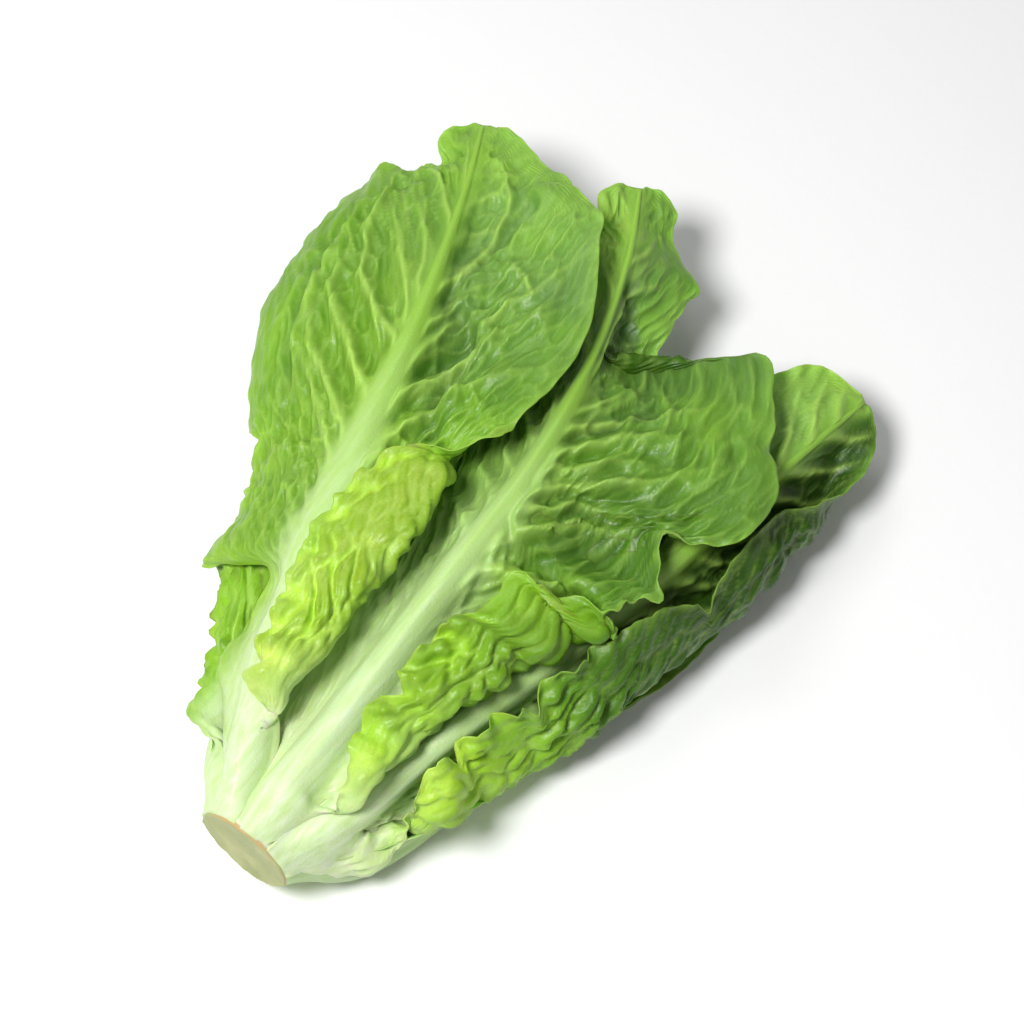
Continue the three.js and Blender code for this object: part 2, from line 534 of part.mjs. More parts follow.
addBunch('middle_leaf', MIDDLE_LEAVES, MIDDLE_FINISH);
addBunch('heart_leaf', HEART_LEAVES, HEART_FINISH);
addBunch('bud_leaf', BUD_LEAVES, HEART_FINISH);

// The origin is under the middle of the whole head, on the surface it lies on.
const box = new THREE.Box3().setFromObject(head);
const middle = box.getCenter(new THREE.Vector3());
head.position.set(-middle.x, -middle.y, -box.min.z);

export default head;
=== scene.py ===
"""A head of romaine lettuce lying on its side, dressed around its CAD model.

Every leaf is hung on the rib and margin lines of its CAD solid, worked out further at a few
margins, and gets its keeled rib, veins, puckers, ruffles and ragged margin as geometry. Lengths in
the tables are millimetres in the head's own frame: the stem's axis is +Y, its cut face is at y = 0
and the surface the head lies on is at z = 0.
"""
import math

import bpy
import numpy as np
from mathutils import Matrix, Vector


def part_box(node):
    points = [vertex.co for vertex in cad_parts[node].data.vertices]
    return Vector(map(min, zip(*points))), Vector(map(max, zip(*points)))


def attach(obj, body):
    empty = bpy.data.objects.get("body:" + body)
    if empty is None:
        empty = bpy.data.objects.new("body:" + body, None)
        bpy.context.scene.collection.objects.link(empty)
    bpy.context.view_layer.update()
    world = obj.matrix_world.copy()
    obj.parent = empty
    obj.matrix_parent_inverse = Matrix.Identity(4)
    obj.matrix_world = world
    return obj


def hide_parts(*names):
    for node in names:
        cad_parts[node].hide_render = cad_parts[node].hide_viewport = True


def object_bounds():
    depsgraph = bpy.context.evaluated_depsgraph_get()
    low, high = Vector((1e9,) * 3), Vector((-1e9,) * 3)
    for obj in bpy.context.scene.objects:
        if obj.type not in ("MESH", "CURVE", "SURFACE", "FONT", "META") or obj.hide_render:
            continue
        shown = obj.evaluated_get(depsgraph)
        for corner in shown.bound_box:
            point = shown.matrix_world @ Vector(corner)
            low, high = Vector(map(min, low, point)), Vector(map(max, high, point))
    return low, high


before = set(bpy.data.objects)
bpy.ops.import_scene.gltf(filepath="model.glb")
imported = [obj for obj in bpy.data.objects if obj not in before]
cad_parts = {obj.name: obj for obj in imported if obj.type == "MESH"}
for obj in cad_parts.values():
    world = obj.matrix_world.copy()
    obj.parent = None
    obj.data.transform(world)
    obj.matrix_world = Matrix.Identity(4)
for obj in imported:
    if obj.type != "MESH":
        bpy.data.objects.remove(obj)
cad_low, cad_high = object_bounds()

MM = 0.001
SIDES = ("left", "right")
AXIS_HEIGHT = 30                  # the stem's centre line over the surface
RIB_THICKNESS = (6.4, 1.5)        # at the leaf's base, and where its taper ends
RIB_HALF_WIDTH = (8, 2.5)         # the same, of the part that is thick
RIB_TAPER_END = 0.7               # share of the rib at which it has reached its least size
RIB_FLANK = 1.6                   # the rib thins into the blade over this many half widths
BLADE_THICKNESS, MARGIN_THICKNESS = 0.8, 0.35
TIP_SHARE = 0.992                 # share of the rib at which a leaf ends
FLAT_BELOW = 0.7                  # what hangs lower than this lies flat on the surface
FLAT_THICKNESS, LEAST_GAP = 0.6, 0.3  # there, and from the surface to any other inner face
CREST, CREST_PRESS = 79.5, 0.65   # this share of what stands higher than the crest is taken off
KEEL_HEIGHT = (3.4, 0.9)          # how far the rib stands proud at the base and towards the tip
BASE_REACH, BASE_SHARE = 4.2, 0.04    # how far past its CAD base an outer leaf runs to the cut
SIDES_MEET = 16                   # width over which the looks of a leaf's two halves blend
NORMAL_PASSES = 3                 # how often the directions of the relief are evened out

# The head's frame in the row frame: the stem's box gives the place of the cut face's centre.
stem_low, stem_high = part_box("stem")
HEAD_ORIGIN = np.array([(stem_low.x + stem_high.x) / 2, stem_low.y, 0.0])

# Wavelengths of the margins' teeth, and how the side veins leave the rib: how far they run forwards
# for each mm outwards, the first gap between two of them and how the gaps grow along the rib.
SCALLOP_PITCH, NICK_PITCH = 15, 5.3
VEIN_SWEEP, FIRST_GAP, GAP_GROWTH = 1.25, 10.5, 0.04
# The blisters' cells, from large to fine: width across the leaf and length along it, and a seed.
BLISTERS = ((12, 9.5, 5), (6.0, 5.4, 6), (3.4, 3.6, 24))
# The ruffles: share of the height, wavelength, how far noise shifts it, the noise's two sizes, a seed.
RUFFLES = ((1, 21, 0.9, 26, 16, 11), (0.5, 8.7, 0.7, 12, 14, 12))

# The outer leaves, as they lie. Angles are in degrees.
#   face: which way the rib's outer side looks, 0 to +X and 90 up, at even shares of its length.
#   rib: points along it, from the base to the tip.
#   left, right: the margins, as seen from outside with the tip up. Each row is the share of the
#   rib, the margin's point, how steeply the blade leaves the rib (up is positive), how steeply
#   it arrives at the margin (180 where it is folded back), and how far it reaches sideways.
OUTER_LEAVES = {
    "outer_leaf_top_left": {
        "face": [115, 112, 108, 104, 100, 96, 92, 90],
        "rib": [
            (-8, 5, 48), (-22, 34, 54), (-38, 70, 61), (-51, 112, 67), (-62, 156, 70), (-72, 194, 71),
            (-84, 227, 70), (-100, 264, 65), (-119.2, 301, 55),
        ],
        "left": [
            (0, -15, 5, 43, -15, -30, 3), (0.1, -38, 32.4, 42, -20, -50, 7),
            (0.2, -51.7, 49.6, 40, -12, -50, 9), (0.3, -64, 89, 45, -5, -40, 8),
            (0.34, -87, 80, 31, 0, -60, 18), (0.4, -91, 106, 30, 0, -65, 20),
            (0.46, -103, 130, 32, 0, -65, 22), (0.54, -119, 148, 33, 0, -60, 24),
            (0.62, -140, 184, 35, 0, -60, 28), (0.72, -148, 222, 38, 0, -60, 26),
            (0.81, -147, 252.2, 42, 0, -55, 22), (0.86, -142.2, 263.5, 46, 0, -40, 18),
            (0.905, -129.2, 267.6, 50, 0, -25, 14), (0.93, -122.1, 275.2, 51, 0, -20, 10),
            (0.955, -128.6, 282.4, 53, 0, -15, 9), (0.98, -127, 292.9, 54, 0, 0, 6),
        ],
        "right": [
            (0, -3, 5, 49.3, 0, 0, 2), (0.1, -13, 40, 54, -10, -20, 4), (0.14, -26, 39, 67, -15, 170, 16),
            (0.22, -35, 60, 71, -20, 180, 30), (0.31, -44, 93, 75, -20, 180, 38),
            (0.38, -47, 123, 77, -15, 180, 44), (0.44, -41, 148, 79, -10, 150, 38),
            (0.49, -20, 163, 78, -22, 50, 20), (0.6, -12, 196, 76, -34, -5, 24),
            (0.72, -17, 234, 74, -36, -5, 24), (0.82, -37, 268, 73, -32, 0, 22),
            (0.87, -48.8, 283, 70, -24, 0, 18), (0.89, -61.4, 287, 68, -10, 0, 14),
            (0.905, -64, 288.5, 66, -10, 0, 12), (0.92, -68.3, 291.7, 64, -10, 0, 12),
            (0.945, -83, 294, 61, -5, 0, 10), (0.965, -94.1, 298.9, 59, -5, 0, 8),
            (0.985, -107, 302.5, 57, 0, 0, 6),
        ],
    },
    "outer_leaf_top": {
        "face": [78, 82, 85, 86, 86, 84, 80, 78],
        "rib": [
            (4, 5, 49.6), (4, 44, 54), (3, 84, 60), (1, 126, 64), (-1, 168, 66), (-6.5, 206, 66),
            (-16, 243, 63), (-31.5, 281, 58), (-51.3, 316.9, 50),
        ],
        "left": [
            (0, -4, 5, 48.2, -10, -20, 2.5), (0.06, -13, 24, 44.5, -20, -30, 5),
            (0.125, -17, 46, 45, -25, -25, 8), (0.25, -26, 92, 53, -28, 0, 10),
            (0.375, -34, 134, 55, -30, 5, 12), (0.5, -40, 176, 54, -35, 5, 14),
            (0.625, -48, 214, 53, -35, 5, 14), (0.75, -58, 250, 50, -30, 5, 14),
            (0.87, -66, 284, 50, -20, 0, 12), (0.95, -52.8, 289.1, 58, -4, 0, 9),
            (0.975, -59.2, 299.8, 58, 4, 0, 7), (0.99, -56.4, 308.4, 55, 2, 0, 4),
        ],
        "right": [
            (0, 10, 5, 46.4, 0, 0, 2), (0.05, 21, 22, 45, -10, -30, 7),
            (0.09, 21.7, 28.9, 55, -30, 150, 18), (0.2, 11, 60, 65, -30, 180, 34),
            (0.3, 15, 95, 71, -30, 180, 41), (0.34, 15.8, 106, 73, -28, 176, 44),
            (0.37, 22.4, 117, 73, -25, 172, 47), (0.386, 22, 131.5, 73, -23, 168, 47),
            (0.398, 31, 131.5, 72, -22, 166, 47), (0.41, 40, 133, 71, -20, 162, 46),
            (0.422, 44.5, 138, 70, -19, 158, 45), (0.436, 56, 139, 67, -18, 130, 40),
            (0.455, 60, 144, 66, -15, 60, 24), (0.485, 64.1, 155.6, 61, -10, 40, 22),
            (0.5, 69.6, 161.8, 61, -20, 40, 24), (0.515, 59.5, 173.4, 62, -24, 60, 24),
            (0.53, 55, 182.2, 63, -28, 50, 24), (0.55, 64.7, 186.1, 61, -30, 10, 24),
            (0.58, 75.6, 194.6, 59, -32, -10, 24), (0.62, 79.5, 209.5, 58, -34, -20, 26),
            (0.655, 76.5, 226.6, 57, -34, -25, 26), (0.68, 64, 241.1, 56, -48, -20, 26),
            (0.705, 53.7, 258.7, 56, -64, 0, 27), (0.722, 34, 275.4, 54, -74, 22, 28),
            (0.736, 3, 248, 36, -72, -20, 9), (0.76, 1.5, 248.5, 35, -74, -30, 9),
            (0.785, 0.5, 250, 35, -70, -25, 9), (0.81, -0.5, 256, 37, -62, -15, 9),
            (0.838, -2.1, 266.2, 40, -55, -10, 10), (0.865, -5.8, 284.6, 39, -25, -25, 11),
            (0.885, -5.5, 293.9, 39, -20, -30, 13), (0.905, -14.6, 298.1, 41, -20, -30, 12),
            (0.93, -28, 307.1, 43, -20, -20, 9), (0.955, -32.8, 317.2, 45, -15, -10, 8),
            (0.975, -42.4, 320.7, 47, -10, 0, 6),
        ],
    },
    "outer_leaf_right": {
        "face": [28, 30, 35, 38, 40, 42, 45, 45],
        "rib": [
            (18, 5, 39), (29, 38, 40), (37, 74, 43), (47, 112, 45), (56, 150, 46), (62, 188, 45),
            (67, 226, 43), (71, 264, 38), (74, 298, 30),
        ],
        "left": [
            (0, 12, 5, 45.6, 0, 0, 2), (0.125, 21, 40, 46, -10, 0, 5), (0.25, 24, 78, 46, -10, 0, 8),
            (0.375, 24, 116, 47, -10, 0, 10), (0.5, 24, 156, 48, -10, 0, 14),
            (0.625, 24, 198, 48, -10, 0, 14), (0.75, 28, 238, 46, -10, 0, 14),
            (0.86, 40, 276, 42, -10, -10, 12), (0.94, 53, 296, 37, -5, 0, 8),
        ],
        "right": [
            (0, 19.5, 5, 32, 0, 0, 2), (0.07, 38.5, 31.5, 14.5, -20, -60, 9),
            (0.095, 43.5, 40.5, 27, -18, 80, 18), (0.13, 41.5, 48, 46, -30, 172, 30),
            (0.25, 44, 76, 53, -32, 180, 46), (0.37, 54, 112, 54, -24, 180, 50),
            (0.48, 62, 146, 53, -20, 180, 44), (0.56, 70, 168, 47, -20, 170, 38),
            (0.61, 77, 180, 41, -20, 160, 34), (0.66, 77, 194, 46, -20, 170, 38),
            (0.75, 78, 226, 42, -20, 170, 34), (0.85, 87, 246, 33, -15, 140, 26),
            (0.92, 91, 270, 26, -10, 60, 16), (0.97, 85, 288, 26, 0, 0, 6),
        ],
    },
    "outer_leaf_low_right": {
        "face": [-22, -45, -72, -84, -88, -90, -90, -90],
        "rib": [
            (19, 5, 24.8), (33, 29, 7), (41, 64, 2), (44, 102, 1), (45, 142, 0), (46, 184, 0), (46, 224, 0),
            (46, 260, 2), (47, 290, 5),
        ],
        "left": [
            (0, 19.6, 5, 31, 0, 0, 2), (0.1, 32, 24, 25, -10, -10, 5), (0.2, 49, 50, 26, -10, 0, 6),
            (0.28, 56, 73, 18, -5, 0, 6), (0.36, 60, 97, 9, 0, 0, 8), (0.46, 66, 128, 1, 0, 0, 10),
            (0.58, 78, 168, 1, 0, 0, 12), (0.7, 80, 206, 2, 0, 0, 12), (0.82, 76, 244, 4, 0, 0, 12),
            (0.92, 66, 276, 7, 0, 0, 8),
        ],
        "right": [
            (0, 16, 5, 18.5, 0, 0, 2), (0.125, 24, 32, 4, -10, 0, 3), (0.25, 23, 70, 1, -5, 0, 5),
            (0.4, 20, 116, 0, 0, 0, 6), (0.6, 17, 180, 0, 0, 0, 8), (0.8, 17, 240, 2, 0, 0, 8),
            (0.92, 30, 278, 5, 0, 0, 6),
        ],
    },
    "outer_leaf_left": {
        "face": [163, 163, 166, 176, 190, 200, 210, 215],
        "rib": [
            (-19, 5, 36), (-37, 30, 29), (-48, 62, 24), (-58, 100, 19), (-68, 140, 15), (-77, 180, 12),
            (-84, 216, 11), (-89, 250, 12), (-92, 280, 15),
        ],
        "left": [
            (0, -19.5, 5, 29, 0, 0, 2), (0.125, -38, 33, 18, -10, 0, 4), (0.25, -52, 70, 12, -10, 0, 6),
            (0.375, -66, 110, 8, -10, 0, 6), (0.5, -84, 150, 7, -10, 10, 8),
            (0.65, -98, 194, 7, -10, 10, 10), (0.8, -108, 236, 8, -10, 10, 10),
            (0.92, -108, 268, 10, 0, 0, 6),
        ],
        "right": [
            (0, -15.5, 5, 42, 0, 0, 2), (0.07, -29, 22, 42, 0, 0, 4), (0.11, -44, 27, 31, 10, 200, 9),
            (0.2, -56, 45, 27, 10, 200, 13), (0.3, -70, 68, 25, 10, 200, 24),
            (0.4, -84, 94, 23, 10, 190, 26), (0.5, -88, 120, 24, 5, 150, 22),
            (0.6, -70, 156, 34, 0, 30, 12), (0.75, -74, 210, 34, 0, 10, 14), (0.9, -80, 258, 28, 0, 0, 10),
        ],
    },
    "outer_leaf_under_left": {
        "face": [210, 225, 250, 262, 268, 270, 270, 270],
        "rib": [
            (-17.5, 5, 20.5), (-28, 32, 6), (-34, 70, 2), (-38, 110, 1), (-42, 148, 0), (-46, 186, 0),
            (-50, 222, 0), (-54, 256, 2), (-58, 286, 5),
        ],
        "left": [
            (0, -12.5, 5, 14.5, 0, 0, 2), (0.125, -17, 34, 5, -5, 0, 3), (0.25, -16, 72, 4, -5, 0, 5),
            (0.4, -14, 116, 4, -5, 0, 6), (0.6, -14, 176, 4, -5, 0, 8), (0.8, -20, 236, 4, 0, 0, 8),
            (0.92, -36, 274, 6, 0, 0, 6),
        ],
        "right": [
            (0, -19.3, 5, 27, 0, 0, 2), (0.125, -38, 34, 12, 0, 0, 4), (0.25, -56, 74, 4, 0, 0, 6),
            (0.4, -76, 116, 2, 0, 0, 10), (0.55, -92, 158, 1, 0, 0, 12), (0.7, -102, 202, 1, 0, 0, 14),
            (0.83, -100, 242, 3, 0, 0, 12), (0.93, -84, 274, 6, 0, 0, 8),
        ],
    },
    "outer_leaf_under_middle": {
        "face": [257, 262, 268, 270, 270, 270, 270, 270],
        "rib": [
            (-5, 5, 10.6), (-4, 34, 0), (-3, 76, 0), (-2, 113.3, 0), (-1, 149.2, 0), (-2, 185.2, 0),
            (-4, 219.2, 0), (-7, 249.4, 2), (-10, 275.9, 5),
        ],
        "left": [
            (0, 3, 5, 10.6, 0, 0, 2), (0.125, 5, 36, 4, -5, 0, 3), (0.3, 12, 86, 4, -5, 0, 6),
            (0.5, 16, 147.4, 4, -5, 0, 7), (0.7, 16, 207.8, 4, 0, 0, 8), (0.88, 10, 255.1, 6, 0, 0, 8),
        ],
        "right": [
            (0, -11, 5, 13.6, 0, 0, 2), (0.125, -14, 36, 1, 0, 0, 3), (0.3, -24, 86, 0, 0, 0, 6),
            (0.5, -30, 147.4, 0, 0, 0, 8), (0.7, -34, 207.8, 0, 0, 0, 8), (0.88, -30, 255.1, 3, 0, 0, 8),
        ],
    },
    "outer_leaf_under_right": {
        "face": [301, 290, 280, 272, 270, 270, 270, 270],
        "rib": [
            (10, 5, 12.8), (14, 33, 1), (15, 70, 1), (17, 106, 0), (19, 142, 0), (20, 178, 0), (21, 212, 0),
            (21, 244, 2), (20, 272, 5),
        ],
        "left": [
            (0, 15.3, 5, 17.5, 0, 0, 2), (0.125, 21, 34, 7, -5, 0, 3), (0.3, 34, 84, 8, -5, 0, 6),
            (0.5, 48, 146, 8, -5, 0, 8), (0.7, 54, 206, 8, 0, 0, 10), (0.88, 44, 254, 9, 0, 0, 8),
        ],
        "right": [
            (0, 4.2, 5, 10.9, 0, 0, 2), (0.125, 6, 35, 0, 0, 0, 3), (0.3, 4, 84, 0, 0, 0, 5),
            (0.5, 2, 146, 0, 0, 0, 6), (0.7, 2, 206, 0, 0, 0, 8), (0.88, 6, 252, 3, 0, 0, 6),
        ],
    },
}
for leaf in OUTER_LEAVES.values():
    for side in SIDES:
        leaf[side].append((1, *leaf["rib"][-1], 0, 0, 2))      # both margins end at the tip

# How each kind of leaf looks along its length: the share of the rib, in hundredths, then for the
# left and the right half of the blade
#   tone: 0 tender yellow-green to 100 deep green: the leaf's own colour, deepened as painted shade
#   where a leaf lies in shadow and lightened as painted light where it lies lit
#   pucker: how far the blade blisters between its veins, in tenths of a mm
#   ridge: how far it sinks between the side veins, in tenths of a mm
#   ruffle: how far the margin waves, in tenths of a mm
#   tooth: how deep the margin is notched, in tenths of a mm
STYLE_UNITS = [100] * 3 + [10] * 8
STYLES = {
    "outer_leaf_top_left": [
        # share, tone, pucker, ridge, ruffle, tooth; all but the share twice, for left and right
        [0, 10, 5, 0, 0, 0, 0, 5, 5, 3, 3],
        [12, 30, 0, 3, 12, 2, 3, 8, 18, 5, 15],
        [20, 35, 8, 4, 20, 3, 5, 8, 32, 5, 25],
        [30, 40, 21, 6, 22, 6, 5, 8, 32, 8, 30],
        [42, 42, 24, 10, 22, 10, 8, 10, 26, 15, 25],
        [50, 48, 50, 11, 14, 16, 18, 10, 12, 12, 12],
        [60, 52, 71, 13, 11, 16, 22, 8, 8, 6, 5],
        [75, 55, 75, 15, 14, 10, 14, 7, 6, 4, 4],
        [86, 50, 50, 12, 8, 5, 6, 8, 8, 3, 3],
        [100, 46, 48, 6, 6, 2, 2, 8, 8, 5, 5],
    ],
    "outer_leaf_top": [
        [0, 10, 5, 0, 0, 0, 0, 3, 5, 3, 3],
        [12, 12, 10, 2, 8, 2, 2, 5, 20, 5, 20],
        [20, 14, 30, 4, 20, 4, 5, 8, 32, 8, 35],
        [30, 28, 42, 8, 22, 8, 8, 10, 32, 10, 40],
        [40, 55, 52, 10, 18, 12, 20, 10, 20, 10, 26],
        [46, 62, 72, 11, 15, 13, 24, 10, 12, 10, 10],
        [50, 70, 82, 12, 12, 14, 26, 10, 8, 10, 6],
        [62, 75, 74, 12, 13, 10, 16, 10, 6, 10, 4],
        [70, 75, 66, 10, 10, 8, 6, 10, 8, 10, 15],
        [74, 72, 98, 10, 10, 7, 6, 10, 8, 10, 15],
        [85, 34, 90, 8, 8, 4, 4, 8, 15, 6, 20],
        [92, 18, 60, 6, 6, 3, 3, 7, 10, 5, 10],
        [100, 40, 55, 5, 5, 2, 2, 6, 6, 5, 5],
    ],
    "outer_leaf_right": [
        [0, 20, 5, 0, 0, 0, 0, 5, 5, 3, 3],
        [12, 30, 15, 4, 16, 4, 4, 5, 24, 5, 20],
        [22, 50, 22, 6, 22, 6, 5, 8, 32, 8, 35],
        [35, 70, 46, 8, 22, 8, 5, 10, 26, 10, 35],
        [46, 92, 86, 10, 18, 8, 5, 10, 20, 10, 30],
        [58, 95, 100, 10, 10, 6, 5, 10, 15, 10, 20],
        [75, 62, 100, 10, 10, 6, 5, 10, 8, 10, 6],
        [88, 38, 100, 8, 8, 5, 5, 10, 6, 8, 5],
        [100, 35, 80, 5, 5, 2, 2, 6, 6, 5, 5],
    ],
    "outer_leaf_low_right": [
        [0, 55, 55, 0, 0, 0, 0, 3, 3, 3, 3],
        [25, 50, 50, 3, 3, 2, 2, 8, 5, 5, 5],
        [40, 50, 50, 10, 6, 6, 6, 15, 8, 15, 10],
        [70, 85, 70, 12, 8, 8, 6, 15, 10, 15, 10],
        [100, 80, 80, 6, 6, 2, 2, 10, 10, 10, 10],
    ],
    "outer_leaf_left": [
        [0, 10, 10, 0, 0, 0, 0, 3, 5, 3, 3],
        [12, 36, 38, 5, 10, 3, 3, 10, 25, 10, 20],
        [25, 38, 40, 8, 20, 4, 4, 20, 20, 15, 18],
        [50, 40, 38, 12, 20, 6, 4, 25, 20, 15, 18],
        [75, 60, 60, 12, 12, 6, 6, 20, 15, 15, 15],
        [100, 60, 60, 6, 6, 2, 2, 10, 10, 10, 10],
    ],
    "under": [
        [0, 20, 20, 0, 0, 0, 0, 3, 3, 3, 3],
        [25, 35, 35, 3, 3, 2, 2, 8, 8, 5, 5],
        [45, 55, 55, 8, 8, 6, 6, 20, 20, 15, 15],
        [75, 65, 65, 10, 10, 6, 6, 25, 25, 15, 15],
        [100, 60, 60, 6, 6, 2, 2, 10, 10, 10, 10],
    ],
    "middle_leaf": [
        [0, 10, 10, 0, 0, 0, 0, 2, 2, 2, 2],
        [30, 30, 30, 5, 5, 4, 4, 5, 5, 5, 5],
        [60, 55, 55, 10, 10, 10, 10, 10, 10, 10, 10],
        [100, 60, 60, 6, 6, 4, 4, 12, 12, 10, 10],
    ],
    "heart_leaf": [
        [0, 0, 0, 0, 0, 0, 0, 2, 2, 2, 2],
        [50, 10, 10, 8, 8, 3, 3, 10, 10, 8, 8],
        [100, 25, 25, 6, 6, 2, 2, 12, 12, 10, 10],
    ],
}

# Rows of points along a leaf, and columns across each half of it.
MESH_SIZES = {
    "outer_leaf_top_left": (248, 100),
    "outer_leaf_top": (248, 100),
    "outer_leaf_right": (220, 84),
    "outer_leaf_low_right": (110, 44),
    "outer_leaf_left": (150, 66),
    "under": (96, 40),
    "middle_leaf": (84, 32),
    "heart_leaf": (56, 22),
}

# Shares of the rib, and half its width there in mm.
RIB_WIDTHS = ([0, 0.12, 0.25, 0.4, 0.55, 0.7, 0.85, 1], [10.5, 9.2, 7.6, 6.6, 5.4, 3.4, 1.7, 0.8])

# Deep notches in the margins: the side, the share of the rib, half the notch's width as a share, and
# its depth in mm.
NOTCHES = {
    "outer_leaf_top_left": [("left", 0.468, 0.026, 9), ("left", 0.3, 0.015, 6), ("right", 0.903, 0.012, 8)],
    "outer_leaf_top": [("right", 0.23, 0.013, 8)],
    "outer_leaf_right": [("right", 0.34, 0.014, 9), ("right", 0.225, 0.012, 8), ("right", 0.61, 0.012, 7)],
    "outer_leaf_left": [("right", 0.33, 0.02, 7)],
}

# Margins that bend down onto the leaf beneath at the base: the side, the shares between which the
# margin comes free, and how deep it sinks, in mm.
TUCKS = {
    "outer_leaf_top_left": [("right", 0.07, 0.125, 4), ("left", 0.13, 0.2, 2.5)],
    "outer_leaf_top": [("right", 0.05, 0.09, 4.5)],
    "outer_leaf_right": [("left", 0.16, 0.34, 2.5)],
    "outer_leaf_left": [("right", 0.06, 0.11, 2.5)],
}

# Hems: where a margin's outer part is smooth, behind a shallow groove. The side, the shares where
# it starts and ends, and its width in mm.
HEMS = {
    "outer_leaf_top_left": [("left", 0.5, 0.9, 24), ("right", 0.52, 0.86, 13)],
    "outer_leaf_top": [("right", 0.56, 0.74, 15)],
    "outer_leaf_right": [("right", 0.6, 0.9, 9)],
}

# Side veins that stand out, and creases: the side, the height in mm (less than none for a crease),
# the width at the rib in mm, and points on it in thousandths of the rib and hundredths of the way
# to the margin.
COURSE_UNITS = (1000, 100)
SIDE_VEINS = {
    "outer_leaf_top_left": [
        ("left", 1.6, 2.4, [(400, 0), (430, 9), (495, 33), (550, 50), (600, 66)]),
        ("left", 1.8, 2.4, [(450, 0), (488, 17), (526, 31), (560, 44), (600, 56), (660, 62), (710, 65),
            (760, 70)]),
        ("left", 1.8, 2.4, [(510, 0), (533, 10), (586, 30), (640, 50), (684, 54), (730, 56)]),
        ("left", 2.0, 2.2, [(585, 0), (606, 6), (636, 22), (671, 35), (709, 44), (750, 51), (790, 54),
            (830, 66)]),
        ("left", 1.5, 1.8, [(610, 0), (630, 4), (679, 12), (729, 22), (766, 33), (810, 60)]),
        ("left", 1.2, 1.6, [(665, 0), (700, 7), (744, 11), (790, 20), (830, 42)]),
        ("left", 1.2, 1.4, [(800, 0), (826, 7), (864, 26), (885, 50)]),
        ("left", 0.8, 1.2, [(870, 0), (900, 6), (956, 23)]),
        ("right", 2.0, 3.0, [(370, 0), (410, 12), (450, 28), (480, 50)]),
        ("right", 2.2, 3.2, [(420, 0), (450, 14), (496, 25), (531, 32), (561, 45), (640, 80)]),
        ("right", 2.4, 3.2, [(500, 0), (531, 10), (561, 22), (603, 34), (648, 42), (690, 55), (730, 75)]),
        ("right", 2.0, 2.6, [(555, 0), (583, 6), (613, 10), (658, 17), (700, 23)]),
        ("right", 1.8, 2.2, [(610, 0), (641, 5), (666, 11), (700, 19)]),
        ("right", 1.5, 1.8, [(690, 0), (716, 7), (794, 25), (851, 31), (889, 36), (930, 33)]),
        ("right", 1.2, 1.6, [(676, 40), (721, 49), (744, 61), (781, 78), (824, 94)]),
        ("right", 1.0, 1.3, [(741, 62), (764, 56), (774, 45)]),
    ],
    "outer_leaf_top": [
        ("right", 1.8, 3.0, [(345, 0), (391, 14), (405, 22), (423, 35), (463, 66), (475, 80)]),
        ("right", 2.0, 3.0, [(395, 0), (421, 6), (468, 25), (506, 36), (516, 54), (530, 80)]),
        ("right", 1.4, 2.4, [(435, 0), (466, 7), (518, 33), (531, 49), (548, 65)]),
        ("right", 2.0, 2.8, [(465, 0), (496, 9), (526, 24), (558, 35), (586, 45), (611, 56), (653, 74)]),
        ("right", 1.4, 2.0, [(505, 0), (528, 8), (561, 22), (593, 30), (616, 42)]),
        ("right", 1.6, 2.2, [(535, 0), (558, 7), (601, 21), (636, 32), (660, 52)]),
        ("right", 1.4, 1.8, [(580, 0), (611, 10), (651, 23), (671, 40), (686, 57), (700, 72)]),
        ("right", 1.0, 1.4, [(600, 0), (623, 4), (661, 14), (689, 24)]),
        ("right", 1.4, 1.6, [(655, 0), (679, 4), (751, 10), (819, 20), (846, 29), (866, 55)]),
        ("right", 1.0, 1.4, [(840, 0), (864, 3), (914, 40), (926, 72)]),
        ("right", -3.0, 2.4, [(480, 22), (493, 30), (523, 51), (546, 70), (571, 72), (603, 82)]),
        ("right", -3.0, 2.6, [(505, 55), (513, 62), (526, 84), (551, 86)]),
        ("left", 1.2, 2.2, [(390, 0), (415, 20), (428, 40), (436, 62)]),
        ("left", 1.3, 2.2, [(440, 0), (460, 15), (476, 33), (491, 62)]),
        ("left", 1.3, 2.0, [(490, 0), (505, 15), (518, 32), (541, 53)]),
        ("left", 1.3, 2.0, [(540, 0), (558, 17), (581, 42), (595, 65)]),
        ("left", 1.2, 1.8, [(585, 0), (608, 12), (628, 25), (650, 50)]),
        ("left", 1.2, 1.6, [(680, 0), (711, 8), (751, 26), (780, 50)]),
        ("left", 0.9, 1.4, [(790, 0), (814, 9), (835, 30)]),
    ],
}

# Raised parts of a blade: the side, the height in mm, how wide the slope up to the edge is, how much
# painted light the part gets, with painted shade in the valley at its foot, and points on the edge in
# the same units.
PLATES = {
    "outer_leaf_top_left": [
        ("right", 6.0, 6.5, 0.01, [(510, 60), (560, 46), (600, 48), (645, 46), (680, 36), (704, 23),
            (730, 21), (765, 27), (800, 36), (840, 46), (876, 66)]),
    ],
    "outer_leaf_top": [
        ("right", 3.2, 3.0, 0.01, [(390, 16), (420, 11), (450, 14), (468, 10), (496, 13), (526, 11),
            (556, 10), (580, 12), (616, 16), (650, 28), (675, 42)]),
        ("right", 1.5, 5.0, 0.36, [(790, 72), (810, 64), (825, 50), (840, 36), (860, 26)]),
    ],
}

